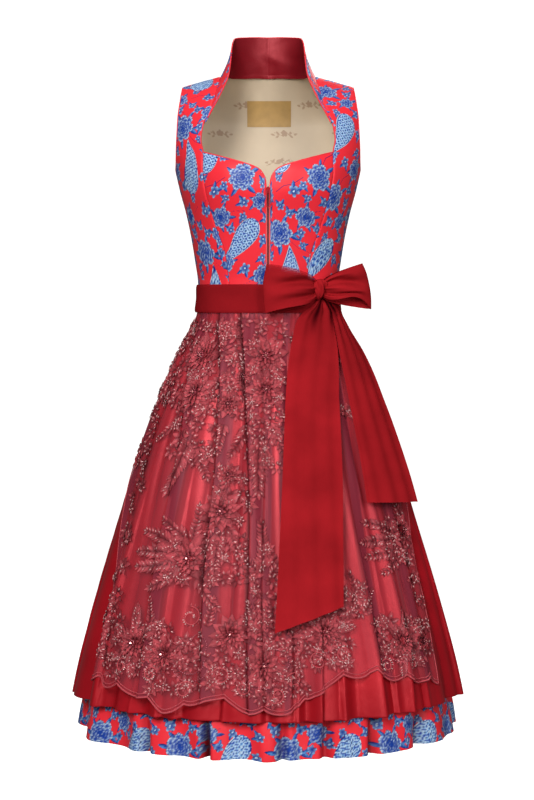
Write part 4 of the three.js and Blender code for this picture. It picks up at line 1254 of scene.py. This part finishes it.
# Two cords along the hem's lobes, the lower one thicker, and one along each side.
CORD_SIDES = 6
cords = []
for up, radius in ((0.8, 1.5), (6.5, 0.8)):
    along = np.linspace(0.001, 0.999, 500)
    line = read(APRON_HEM, 1, along) + scallop(along) + up
    cords.append(tube(apron_surface(apron_turn(along, line), line, 0.6), radius, CORD_SIDES))
for side in (0.0, 1.0):
    line = np.linspace(read(APRON_HEM, 1, side), WAIST_Z - 22, 200)
    cords.append(tube(apron_surface(apron_turn(side, line), line, 0.2), 0.8, CORD_SIDES))
sewn_cords("apron_cords", cords, 0.9)


def turn_at_x(x, z):
    """The turn at which the apron has a given x."""
    turn = np.arcsin(np.clip(x / (read(SKIRT, 1, z) + 20), -1, 1))
    for _ in range(4):
        turn = np.arcsin(np.clip(x / (read(SKIRT, 1, z) + apron_out(turn, z)), -1, 1))
    return turn


# The embroidery is made of sewn leaves. Each has a centre on the apron, its turn and z, and from there x and
# y of its root in mm, its heading, length and half width, and how far its root, tip and edges stand off the
# net.
sewn, raised = [], []
PLUME_BARB = 0.3
ROSE_PETALS = 6
STAR_BARBS = 9
# The rings of a raised flower: share of its radius, petals, and how high their roots and tips stand.
DAISY_RINGS = ((1.0, 14, 1.0, 3.0), (0.8, 12, 2.0, 5.5), (0.6, 9, 3.5, 7.5), (0.4, 6, 5.0, 9.0))


def sew(store, centre, rows):
    """Adds leaves round one centre."""
    rows = np.array(rows, float)
    store.append(np.concatenate([np.tile(centre, (len(rows), 1)), rows], axis=1))


def plume(centre, length, heading, bend, pairs):
    """A curved spray: pairs of slim leaves along a bent rib, shorter towards its tip."""
    rows = []
    for k in range(pairs):
        t = (k + 0.4) / pairs
        way = heading + bend * t
        x, y = length * t * np.cos(heading + bend * t / 2), length * t * np.sin(heading + bend * t / 2)
        barb = length * PLUME_BARB * (1 - 0.55 * t) * chance.uniform(0.85, 1.15)
        for side in (-1, 1):
            rows.append((x, y, way + side * chance.uniform(0.6, 0.85), barb, barb * 0.2, 0.3, 1.4, 0.5))
    tip = length * PLUME_BARB
    rows.append((x, y, way, tip * 0.6, tip * 0.12, 0.4, 1.2, 0.5))
    sew(sewn, centre, rows)


def rose(centre, radius):
    """A small flat rose: three rings of broad petals, the inner ones higher."""
    rows = []
    for ring, share in enumerate((1.0, 0.68, 0.4)):
        petals = ROSE_PETALS - ring
        for k in range(petals):
            angle = 2 * np.pi * (k + 0.5 * ring) / petals + chance.uniform(-0.15, 0.15)
            length = radius * share
            rows.append((0, 0, angle, length, length * 0.42, 0.4 + ring, 1.0 + 1.2 * ring, 0.9))
    sew(sewn, centre, rows)


def bunch(centre, length, count):
    """Pointed leaves that spread from one root."""
    first = chance.uniform(0, 6.28)
    rows = []
    for k in range(count):
        angle = first + 2 * np.pi * (k + chance.uniform(-0.2, 0.2)) / count
        size = length * chance.uniform(0.6, 0.9)
        root = (0.22 * length * np.cos(angle), 0.22 * length * np.sin(angle))
        rows.append((*root, angle, size, size * 0.27, 0.3, 1.8, 0.6))
    sew(sewn, centre, rows)


def star_leaf(centre, reach, length, heading):
    """A large pointed leaf: a broad one under close pairs of barbs, which give it a toothed edge."""
    x, y = reach * np.cos(heading), reach * np.sin(heading)
    sew(sewn, centre, [(x, y, heading, length, length * 0.17, 0.2, 1.6, 0.6)])
    rows = []
    for k in range(STAR_BARBS):
        t = (k + 0.3) / STAR_BARBS
        barb = length * 0.3 * np.sin(np.pi * (0.2 + 0.72 * t))
        at = (x + length * t * 0.9 * np.cos(heading), y + length * t * 0.9 * np.sin(heading))
        for side in (-1, 1):
            rows.append((*at, heading + 0.6 * side, barb, barb * 0.2, 1.0, 1.9, 0.4))
    sew(sewn, centre, rows)


def daisy(centre, radius):
    """A raised flower with many narrow petals in four rings, each ring steeper and shorter."""
    first = chance.uniform(0, 6.28)
    rows = []
    for share, count, low, high in DAISY_RINGS:
        for k in range(count):
            angle = first + 2 * np.pi * (k + 0.5 * low) / count + chance.normal(0, 0.07)
            length = radius * share * chance.uniform(0.56, 0.68)
            reach = radius * share * 0.38
            tip = high + chance.uniform(-0.6, 0.8)
            root = (reach * np.cos(angle), reach * np.sin(angle))
            rows.append((*root, angle, length, length * 0.3, low, tip, 1.3))
    sew(raised, centre, rows)


# The raised flowers: x, z, radius, and whether large leaves spread from under them like a star.
FLOWERS = [
    (-106, -451, 26, 0), (-119, -511, 25, 0), (-3, -451, 25, 0), (-3, -505, 23, 0), (-63, -528, 17, 0),
    (-75, -698, 27, 0), (-127, -774, 26, 0), (-216, -913, 25, 1), (-167, -925, 22, 0), (-59, -890, 24, 0),
    (-6, -936, 26, 0), (91, -887, 24, 1), (220, -912, 25, 1), (-39, -485, 13, 0), (221, -740, 17, 0),
    (252, -918, 15, 0), (-62, -640, 14, 0),
]
# Sprays: x, z, length, heading in degrees, bend, pairs of leaves.
PLUMES = [
    (-128, -590, 88, 258, -0.2, 14), (-112, -596, 60, 285, 0.3, 10), (-150, -560, 50, 230, -0.3, 8),
    (-14, -580, 92, 268, 0.1, 15), (4, -560, 60, 290, 0.2, 9), (-32, -560, 58, 250, -0.2, 9),
    (-140, -768, 84, 176, 0.2, 12), (-140, -758, 78, 158, 0.2, 11), (-142, -780, 80, 196, -0.2, 11),
    (-136, -790, 70, 218, -0.2, 9), (-130, -748, 62, 138, 0.3, 9), (-112, -800, 66, 300, 0.3, 10),
    (-104, -762, 40, 20, 0.3, 7), (-122, -748, 60, 80, 0.2, 9), (-6, -790, 76, 92, 0.1, 12),
    (-12, -800, 52, 130, 0.3, 8), (4, -800, 46, 60, -0.3, 8), (-10, -830, 66, 268, 0.2, 10),
    (-78, -730, 72, 266, 0.1, 11), (-60, -725, 58, 285, 0.2, 9), (-90, -722, 50, 240, -0.2, 8),
    (-70, -668, 44, 100, 0.2, 7), (216, -748, 74, 150, 0.3, 11), (214, -756, 78, 172, 0.2, 12),
    (214, -764, 74, 196, -0.2, 11), (218, -772, 60, 222, -0.3, 9), (224, -728, 50, 108, 0.3, 8),
    (146, -858, 78, 128, 0.4, 11), (150, -858, 64, 96, 0.3, 10), (140, -862, 66, 160, 0.3, 10),
    (154, -866, 50, 60, -0.3, 8), (120, -868, 52, 20, 0.3, 8), (60, -910, 62, 170, 0.3, 9),
    (-190, -880, 44, 95, 0.3, 8), (-20, -880, 46, 100, 0.3, 8), (-100, -880, 50, 70, 0.3, 8),
    (-66, -400, 44, 270, 0.2, 9), (-48, -440, 44, 280, 0.2, 9), (-70, -560, 50, 262, 0.1, 9),
]
# Patches filled with roses and leaves: turn in degrees, z, half width in degrees, half height in mm, count.
PATCHES = [
    (-50, -464, 28, 63, 34), (-35, -576, 12, 46, 16), (-21, -470, 8, 78, 13), (-1.6, -483, 10, 90, 30),
    (-1.7, -603, 7, 32, 7), (-14, -721, 6.5, 85, 20), (-1.3, -805, 5, 50, 10), (-28.6, -781, 7, 30, 7),
    (-35, -934, 19, 50, 34), (-18, -955, 13, 36, 22), (-2, -925, 11, 60, 32), (4, -972, 8, 24, 9),
    (17.4, -903, 8, 36, 13), (48, -912, 12, 40, 12), (56, -751, 5, 34, 5), (28, -843, 5, 23, 5),
    (-59, -885, 4.5, 90, 10), (-63, -719, 6, 68, 8), (-69, -573, 6, 72, 8), (38, -470, 44, 85, 16),
    (60, -850, 3.5, 100, 8),
]
PATCH_ROOM = 12.5
PATCH_TRIES = 12
ROSE_SHARE = 0.45


def on_net(turn, z):
    """Whether a place lies on the apron, clear of its hem and sides."""
    degrees = np.degrees(turn)
    right, left = read(APRON_EDGE, 1, z), read(APRON_EDGE, 2, z)
    share = (degrees - right) / (left - right)
    return 0.02 < share < 0.98 and z > read(APRON_HEM, 1, share) + 26


for x, z0, radius, starred in FLOWERS:
    centre = (float(turn_at_x(x, z0)), z0)
    daisy(centre, radius)
    first = chance.uniform(0, 1)
    for k in range(6 if starred else 0):
        star_leaf(centre, radius * 0.5, radius * chance.uniform(1.7, 2.4), first + 2 * np.pi * k / 6)
    bunch(centre, radius * 1.45, 11)
for x, z0, length, heading, bend, pairs in PLUMES:
    plume((float(turn_at_x(x, z0)), z0), length, np.radians(heading), bend, pairs)
filled = [(turn_at_x(x, z0), z0, radius * 0.55) for x, z0, radius, starred in FLOWERS]
for turn0, z0, wide, high, count in PATCHES:
    for _ in range(count * PATCH_TRIES):
        if count == 0:
            break
        centre = (np.radians(turn0 + wide * chance.uniform(-1, 1)), z0 + high * chance.uniform(-1, 1))
        reach = read(SKIRT, 1, centre[1])
        off = [np.hypot((centre[0] - t) * reach, centre[1] - at) - room for t, at, room in filled]
        if min(off) < PATCH_ROOM * 0.8 or not on_net(*centre):
            continue
        filled.append((*centre, PATCH_ROOM * 0.5))
        count -= 1
        if chance.uniform() < ROSE_SHARE:
            rose(centre, chance.uniform(8.5, 12))
        bunch(centre, chance.uniform(13, 18), 7)

# Scrolls like commas near the hem: x, z, size, heading, hand. Short leaves fringe each one's outer side.
SCROLLS = [
    (-132, -978, 15, 30, 1), (-75, -955, 15, 150, -1), (80, -932, 16, 20, 1), (14, -982, 14, 200, 1),
    (-123, -866, 17, 100, -1), (-188, -958, 13, 10, 1), (40, -960, 13, 160, -1), (-236, -950, 12, 60, 1),
    (190, -948, 12, 170, -1), (236, -950, 12, 20, 1), (120, -925, 13, 60, 1), (-40, -972, 13, 40, -1),
]
SCROLL_TURNS = 1.25
SCROLL_LEAVES = 26
scroll_cords = []


def scroll_line(size, heading, hand, count):
    """A spiral whose radius shrinks evenly with the angle."""
    way = np.linspace(0, 2 * np.pi * SCROLL_TURNS, count)
    reach = size * (1 - 0.8 * way / way[-1])
    angle = heading + hand * way
    return reach * np.cos(angle), reach * np.sin(angle), angle


for x, z0, size, heading, hand in SCROLLS:
    centre = (float(turn_at_x(x, z0)), z0)
    xs, ys, angles = scroll_line(size, np.radians(heading), hand, SCROLL_LEAVES)
    lengths = np.linspace(7, 3, SCROLL_LEAVES)
    columns = np.broadcast_arrays(xs, ys, angles + 0.5 * hand, lengths, lengths * 0.22, 0.4, 1.4, 0.4)
    sew(sewn, centre, np.stack(columns, axis=-1))
    reach = read(SKIRT, 1, z0) + 25
    xs, ys, angles = scroll_line(size, np.radians(heading), hand, 60)
    scroll_cords.append(tube(apron_surface(centre[0] + xs / reach, z0 + ys, 2.2), 0.9, CORD_SIDES))
sewn_cords("apron_scrolls", scroll_cords, 1.0)


# How far up a millimetre along the apron's slope leads.
SLOPE = 0.97


def reach_of(turn, z):
    """How far a point of the apron moves for each radian of turn."""
    step = 0.01
    moved = apron_surface(turn + step, z) - apron_surface(turn - step, z)
    return np.linalg.norm(moved, axis=-1) / (2 * step)


def sewn_mesh(name, rows, along, across):
    """All the leaves as one piece. A leaf's half width is a power of a sine along it. Its height runs from
    its root to its tip, with the square of the way across lifting its edges and a ridge down its middle."""
    centre_turn, centre_z, x, y, heading, length, half, low, high, lift = rows.T[:, :, None, None]
    t = np.linspace(0, 1, along)[None, :, None]
    s = np.linspace(-1, 1, across)[None, None, :]
    u = length * t
    v = half * s * (np.sin(np.pi * t**0.8) ** 0.8 * (1 - t**8) + 0.03)
    turn = centre_turn + (x + u * np.cos(heading) - v * np.sin(heading)) / reach_of(centre_turn, centre_z)
    z = centre_z + SLOPE * (y + u * np.sin(heading) + v * np.cos(heading))
    height = low + (high - low) * np.sin(1.9 * t) + lift * s * s * t + 0.35 * (1 - np.abs(s)) * (1 - t)
    points = apron_surface(turn, z, height).reshape(-1, 3)
    base = grid_faces(along, across)
    faces = (np.arange(len(rows))[:, None, None] * along * across + base[None]).reshape(-1, 4)
    tone = chance.uniform(0.45, 1.15, len(rows))[:, None, None]
    # Painted shade: darker in the apron's pleat troughs, towards each leaf's root and at its edges.
    shaded = 1 - 0.8 * apron_pleats(turn, z)[2]
    vein = tone * (0.1 + 0.9 * smoothstep(t, -0.1, 0.6)) * (1 - 0.45 * s * s) * shaded
    layers = {"vein": np.clip(vein, 0, 1).ravel()}
    return piece(name, points, faces, THREAD, uv=over_cloth(u, v).reshape(-1, 2), layers=layers)


SOLID_FLOWERS = 13
rows = np.concatenate(sewn)
sewn_mesh("apron_embroidery", rows, 5, 3)
made = sewn_mesh("apron_petals", np.concatenate(raised), 7, 5)
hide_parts(*["flower_%d" % (k + 1) for k in range(SOLID_FLOWERS)])


def ball(centre, radius):
    """A small bead: twenty faces on twelve points."""
    g = (1 + 5**0.5) / 2
    points = np.array([
        [-1, g, 0], [1, g, 0], [-1, -g, 0], [1, -g, 0], [0, -1, g], [0, 1, g],
        [0, -1, -g], [0, 1, -g], [g, 0, -1], [g, 0, 1], [-g, 0, -1], [-g, 0, 1],
    ])
    faces = np.array([
        [0, 11, 5], [0, 5, 1], [0, 1, 7], [0, 7, 10], [0, 10, 11], [1, 5, 9], [5, 11, 4], [11, 10, 2],
        [10, 7, 6], [7, 1, 8], [3, 9, 4], [3, 4, 2], [3, 2, 6], [3, 6, 8], [3, 8, 9], [4, 9, 5],
        [2, 4, 11], [6, 2, 10], [8, 6, 7], [9, 8, 1],
    ])
    return centre + points / np.linalg.norm(points[0]) * radius, faces


# A crystal in each raised flower, and a ring of beads round it.
CRYSTAL_RADIUS = 3.2
RING_BEADS, RING_RADIUS = 8, 4.6
gems, beads = [], []
for x, z0, radius, starred in FLOWERS:
    turn0 = turn_at_x(x, z0)
    gems.append(ball(apron_surface(turn0, z0, 8.0), CRYSTAL_RADIUS * min(radius / 22, 1)))
    for k in range(RING_BEADS):
        angle = 2 * np.pi * k / RING_BEADS
        turn = turn0 + RING_RADIUS * np.cos(angle) / reach_of(turn0, z0)
        beads.append(ball(apron_surface(turn, z0 + RING_RADIUS * np.sin(angle), 7.2), 1.2))
points, faces = together(gems)
piece("apron_rhinestones", points, faces, RHINESTONE, smooth=False)

# Lines of beads at equal spaces, each through a few places given by their x and z.
BEAD_STEP, BEAD_RADIUS, BEAD_RAISED = 3.4, 1.35, 1.6
BEAD_LINES = [
    [(-152, -948), (-138, -962), (-116, -964), (-98, -950), (-94, -932)],
    [(-150, -938), (-136, -951), (-118, -953), (-104, -942), (-100, -928)],
    [(-124, -904), (-112, -892), (-98, -900), (-100, -916), (-112, -920)],
    [(-30, -962), (-10, -972), (14, -966), (22, -950)],
    [(10, -912), (26, -918), (34, -934), (24, -948)],
    [(60, -920), (84, -924), (104, -914)],
    [(196, -938), (218, -946), (240, -938)],
    [(-244, -936), (-226, -948), (-206, -944)],
]
for places_on_line in BEAD_LINES:
    line = through([(x, 0, z) for x, z in places_on_line], 200)
    run = np.concatenate([[0], np.cumsum(np.linalg.norm(np.diff(line, axis=0), axis=1))])
    at = np.arange(0, run[-1], BEAD_STEP)
    for x, z0 in zip(np.interp(at, run, line[:, 0]), np.interp(at, run, line[:, 2])):
        beads.append(ball(apron_surface(turn_at_x(x, z0), z0, BEAD_RAISED), BEAD_RADIUS))

# Half a bugle bead's length, its radius, and how many there are at most.
BUGLE_HALF, BUGLE_RADIUS = 2.1, 0.85
BUGLES = 2600


def bugles(rows):
    """Long glass beads, one along each leaf: eight flat faces from end to end round a square waist."""
    turn0, z0, x, y, heading, length, half, low, high, lift = rows.T
    ends = []
    for way in (0.5 * length - BUGLE_HALF, 0.5 * length + BUGLE_HALF):
        turn = turn0 + (x + way * np.cos(heading)) / reach_of(turn0, z0)
        ends.append(apron_surface(turn, z0 + SLOPE * (y + way * np.sin(heading)), high + 0.7))
    middle, way = (ends[0] + ends[1]) / 2, ends[1] - ends[0]
    across = np.cross(way, [0.0, -1.0, 0.0])
    across *= BUGLE_RADIUS / np.linalg.norm(across, axis=1, keepdims=True)
    out = np.cross(across, way)
    out *= BUGLE_RADIUS / np.linalg.norm(out, axis=1, keepdims=True)
    waist = [middle + across, middle + out, middle - across, middle - out]
    points = np.stack([ends[0], *waist, ends[1]], axis=1)
    faces = np.array([[0, 2, 1], [0, 3, 2], [0, 4, 3], [0, 1, 4], [5, 1, 2], [5, 2, 3], [5, 3, 4], [5, 4, 1]])
    return points.reshape(-1, 3), (np.arange(len(rows))[:, None, None] * 6 + faces).reshape(-1, 3)


beaded = chance.choice(len(rows), size=min(BUGLES, len(rows)), replace=False)
points, faces = bugles(rows[beaded])
piece("apron_bugle_beads", points, faces, BUGLE, smooth=False)
points, faces = together(beads)
piece("apron_beads", points, faces, BEAD)

# The sash: a band round the waist, a bow at the wearer's left front and two tails.
BAND_OUT = 5.8
# The weave's mm for each radian of turn.
BAND_REACH = 105


def band_crease(turn, z):
    """Long soft creases round the band, gathered towards the bow."""
    toward_bow = np.exp(-(((np.degrees(turn) - 45) / 28) ** 2))
    return 0.7 * np.sin((z - SASH_BOTTOM_Z) / 5 + 1.5 * np.sin(2 * turn)) * (0.3 + toward_bow)


turn = np.linspace(-np.pi, np.pi, 331)[:-1, None]
rows = np.linspace(0, 1, 30)
z = lerp(SASH_BOTTOM_Z, SASH_TOP_Z, rows)[None, :]
out = BAND_OUT - 2.4 * rows - 1.6 * (2 * np.abs(rows - 0.5)) ** 10
grid = torso(turn, z, out[None, :] + band_crease(turn, z))
uv = over_cloth(turn * BAND_REACH, z)
# The whole band gets a fifth of the painted shade colour, a darker copy of the bow's organza.
shaded = {"deep": np.full(grid.shape[:2], 0.2)}
made = cloth("sash_ribbon_band", grid, ORGANZA, closed=True, uv=uv, layers=shaded)
cut(made, 0.05, "sash_band")


BOW_ROWS = 64


def bow_loop(start, end, start_half, end_half, bulge, lift, fullness, slant, agape):
    """The ribbon out from the knot along the front and back along the rear: its reach is a cosine of the way
    round, its width a power of the reach, and pleats run out from the knot. The far fold slants, and the
    front's lower edge rises by agape to show the inside."""
    start, end = np.array(start, float), np.array(end, float)
    away = end - start
    depth = np.array([away[1], -away[0], 0]) / np.hypot(away[0], away[1]) * np.sign(away[0])
    t = np.linspace(0, 1, 120)[:, None]
    s = np.linspace(-1, 1, BOW_ROWS)[None, :]
    reach = (1 - np.cos(2 * np.pi * t)) / 2
    front = 1 - smoothstep(t, 0.42, 0.6)
    width = lerp(start_half, end_half, reach**fullness)
    crease = 4.5 * np.sin(7.5 * s + 1.0 + 3.5 * reach) * (1 - reach) ** 0.6
    fine = 1.1 * np.sin(17 * s + 3 * t) * (1 - reach) ** 1.5 + 0.8 * np.sin(5 * s + 9 * t) * reach
    hollow = -6.5 * front * np.exp(-(((s - 0.75 + 0.9 * reach) / 0.22) ** 2)) * np.sin(np.pi * reach) ** 1.5
    gape = agape * front * smoothstep(-s, 0.1, 1) * np.sin(np.pi * reach**1.6)
    billow = bulge * np.sin(2 * np.pi * t) * (1 - 0.25 * s * s) + lerp(2, -2, t)
    out = billow + crease * front + fine + hollow + 4 * lift * reach * (1 - reach)
    droop = 2.5 * np.sin(2.5 * s + 3 * t) * reach
    share = reach * (1 - 0.05 * s * s - slant * s * reach)
    grid = start + away * share[..., None] + depth * out[..., None]
    grid[..., 2] += width * s + droop + gape
    return grid if away[0] > 0 else grid[::-1]


# Each loop: its start and far end, half widths there, bulge, lift, fullness, slant and gape.
BOW = {
    "right": ((78, -84, -343), (-8, -118, -340), 11, 40, 12, 12, 0.5, 0.02, 4),
    "left": ((90, -82, -343), (168, -62, -336), 11, 39, 14, 4, 0.55, 0.1, 17),
}
# Half the ribbon's width for the weave, and how sheer each loop's upper edge is.
RIBBON_HALF = 45
SHEER = {"right": 0.35, "left": 0.0}
across = np.linspace(-1, 1, BOW_ROWS)
for side, shape in BOW.items():
    grid = bow_loop(*shape)
    uv = over_cloth(flat_lengths(grid), RIBBON_HALF * across)
    sheer = np.broadcast_to(SHEER[side] * smoothstep(across, 0.45, 1), grid.shape[:2])
    made = cloth("bow_loop_ribbon_" + side, grid, ORGANZA, uv=uv, layers={"sheer": sheer})
    cut(made, 0.085, "bow_loop_" + side)

# The knot: the ribbon wrapped once round the loops, as a soft pillow with creases along it.
KNOT = {"x": 84, "z": -343, "wide": 12.5, "high": 17, "deep": 13, "raised": 15}
surface = torso(turn_at(KNOT["x"], KNOT["z"]), KNOT["z"], BAND_OUT)
around = np.linspace(0, 2 * np.pi, 97)[:-1, None]
up = np.linspace(-1, 1, 48)[None, :]
bulk = (1 - np.abs(up) ** 3) ** 0.5 * (0.85 + 0.15 * up) + 1e-4
creases = 1 + 0.2 * np.sin(5 * around + 4 * up) * (1 - up**2) + 0.06 * np.sin(11 * around + 6 * up)
grid = stack(
    KNOT["x"] + KNOT["wide"] * bulk * creases * np.cos(around) + 3 * up,
    surface[1] - KNOT["raised"] + KNOT["deep"] * bulk * creases * np.sin(around),
    KNOT["z"] + KNOT["high"] * up,
)
uv = over_cloth(around * 14, up * 19)
made = cloth("bow_knot_ribbon", grid, ORGANZA, closed=True, uv=uv)
cut(made, 0.06, "bow_knot", sides=2)

# The tails: z, right and left edges in degrees of turn, and how far each edge stands out.
TAIL_FRONT = np.array([
    [-890, 1.8, 21.5, 2, 4], [-700, 4.5, 27, 1, 4], [-530, 8, 35, 1, 3], [-450, 12, 44, 1, 2],
    [-400, 17, 51, 1.5, 2], [-382, 23, 53, 3, 3], [-370, 31, 48, 4, 4], [-360, 37, 44.5, 4.2, 4.2],
])
TAIL_SIDE = np.array([
    [-700, 38, 64, 2, 16], [-530, 42, 70, 1, 8], [-450, 46, 75, 1, 5], [-400, 53, 77, 1.5, 3],
    [-382, 55, 74, 3, 3], [-370, 50, 64, 4, 4], [-360, 46, 53, 4.2, 4.2],
])


def tail(rows, right_end, left_end, hollows):
    """A ribbon hanging over the apron, with ripples along it that start as pleats at the knot, and a narrow
    raised hem down each side. The hollows between its pleats, given by their places across and their
    spreads, get painted shade under the knot."""
    s = np.linspace(0, 1, 70)[:, None]
    up = np.linspace(0, 1, 150)[None, :]
    z = lerp(lerp(right_end, left_end, s), rows[-1, 0], up)
    turn = np.radians(lerp(read(rows, 1, z), read(rows, 2, z), s))
    lift = lerp(read(rows, 3, z), read(rows, 4, z), s)
    flare = smoothstep(-z, -APRON_TOP_Z, -APRON_LOW_Z)
    base = read(SKIRT, 4, z) * 1.5 + 14 * flare + APRON_WALL + 2 * SEAM
    ripple = 2.4 * np.sin(3.2 * np.pi * s + 0.6 * np.sin(z / 120)) ** 2 * (1 - 0.5 * up)
    pleats = 6.0 * (0.5 + 0.5 * np.sin(17 * s - 1.2)) * up**9 * (1 - up**30)
    hem = 0.5 * (np.minimum(s, 1 - s) < 0.03)
    grid = skirt(turn, z, base + lift + ripple + pleats + hem + 0.8)
    near_knot = smoothstep(up, 0.87, 0.96)
    # Painted shade in the hollows under the knot.
    deep = sum(np.exp(-(((s - at) / wide) ** 2)) for at, wide in hollows) * near_knot
    return grid, deep


for name, rows, right_end, left_end, node, hollows in (
    ("tail_ribbon_front", TAIL_FRONT, -884, -846, "tail_front", [(0.42, 0.09), (0.95, 0.08)]),
    ("tail_ribbon_side", TAIL_SIDE, -688, -694, "tail_side", [(0.12, 0.1), (0.6, 0.12)]),
):
    grid, deep = tail(rows, right_end, left_end, hollows)
    made = cloth(name, grid, ORGANZA, layers={"deep": deep})
    cut(made, abs(right_end - rows[-1, 0]) * MM, node)

# The zip: two cloth tapes behind the opening and rows of small teeth. The slider and its pull are the solids.
ZIP_TOP, ZIP_BOTTOM = -177, -356
ZIP_HALF = 9.5
TOOTH = {"half": [1.25, 0.6, 0.42], "pitch": 1.25, "aside": 0.55}
x = np.linspace(-ZIP_HALF, ZIP_HALF, 16)[:, None]
z = np.linspace(ZIP_BOTTOM, ZIP_TOP, 60)[None, :]
grid = torso(turn_at(x, z), z, -2.6)
made = cloth("zip_tapes", grid, ZIP_TAPE, uv=over_cloth(x, z))
cut(made, 0.18, "zip_tape")
teeth = []
CUBE = np.array([[i, j, k] for i in (-1, 1) for j in (-1, 1) for k in (-1, 1)], float)
CUBE_FACES = np.array([[0, 1, 3, 2], [4, 6, 7, 5], [0, 4, 5, 1], [2, 3, 7, 6], [0, 2, 6, 4], [1, 5, 7, 3]])
for k, height in enumerate(np.arange(ZIP_BOTTOM, ZIP_TOP - 2, TOOTH["pitch"])):
    at = torso(0.0, height, -1.2)
    hand = 1 if k % 2 else -1
    teeth.append((at + CUBE * TOOTH["half"] + [TOOTH["aside"] * hand, 0, 0], CUBE_FACES))
points, faces = together(teeth)
made = piece("zip_teeth", points, faces, ZIP_TEETH, smooth=False)
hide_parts("zip_chain")
for node in ("zip_slider", "zip_pull"):
    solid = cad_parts[node]
    solid.data.materials.clear()
    solid.data.materials.append(ZIP_RED)

# The floor and backdrop, one pale bowl with its side curved up all round, soft lights and the camera.
FLOOR_Z = -1450
BOWL_RADIUS, BOWL_CORNER, BOWL_HEIGHT = 4200, 1200, 6400
paper = Finish("paper")
paper.set(Base_Color=colour(244, 243, 242), Roughness=0.9, Emission_Color=colour(255, 254, 252))
paper.set(Emission_Strength=0.9)
corner = np.linspace(0, SIDE, 24)
bend_out, bend_up = BOWL_CORNER * np.sin(corner), BOWL_CORNER * (1 - np.cos(corner))
reach = np.concatenate([[1], BOWL_RADIUS + bend_out, [BOWL_RADIUS + BOWL_CORNER]])
height = FLOOR_Z + np.concatenate([[0], bend_up, [BOWL_HEIGHT]])
around = np.linspace(0, 2 * np.pi, 65)[:-1, None]
backdrop = stack(reach * np.cos(around), reach * np.sin(around), height)
bowl_faces = grid_faces(*backdrop.shape[:2], closed=True)[:, ::-1]
floor_mesh = bpy.data.meshes.new("backdrop")
floor_mesh.from_pydata((backdrop.reshape(-1, 3) * MM).tolist(), [], bowl_faces.tolist())
for face in floor_mesh.polygons:
    face.use_smooth = True
floor_mesh.materials.append(paper.material)
floor = bpy.data.objects.new("backdrop", floor_mesh)
bpy.context.scene.collection.objects.link(floor)
floor.visible_diffuse = floor.visible_glossy = False


def aim(thing, place, target):
    """Puts a light or the camera somewhere, with its front towards a target."""
    thing.location = place
    way = Vector(target) - Vector(place)
    thing.rotation_euler = way.to_track_quat("-Z", "Y").to_euler()


DRESS_MIDDLE = (0, 0, -0.55)


def softbox(name, place, size, power):
    """A soft light aimed at the middle of the dress, with its size in metres and its power in watts."""
    light = bpy.data.lights.new(name, "AREA")
    light.shape, light.size, light.size_y, light.energy = "RECTANGLE", size[0], size[1], power
    made = bpy.data.objects.new(name, light)
    bpy.context.scene.collection.objects.link(made)
    aim(made, place, DRESS_MIDDLE)


softbox("key", (-0.9, -3.4, 0.9), (1.0, 1.4), 112)
softbox("fill", (1.5, -3.2, 0.3), (1.0, 1.6), 46)
softbox("top", (0.0, -0.8, 2.4), (1.6, 1.2), 20)
softbox("rim", (0.6, 2.6, 1.0), (1.6, 1.6), 36)
world = bpy.data.worlds.new("studio")
world.use_nodes = True
air = world.node_tree.nodes["Background"]
air.inputs["Color"].default_value = (1, 1, 1, 1)
air.inputs["Strength"].default_value = 0.12
bpy.context.scene.world = world
bpy.context.scene.view_settings.view_transform = "Standard"

camera_data = bpy.data.cameras.new("camera")
camera_data.sensor_width = 36
camera_data.lens = 79.4
camera = bpy.data.objects.new("camera", camera_data)
bpy.context.scene.collection.objects.link(camera)
aim(camera, (-0.0017, -3.0, -0.358), (-0.0017, 0, -0.531))
bpy.context.scene.camera = camera
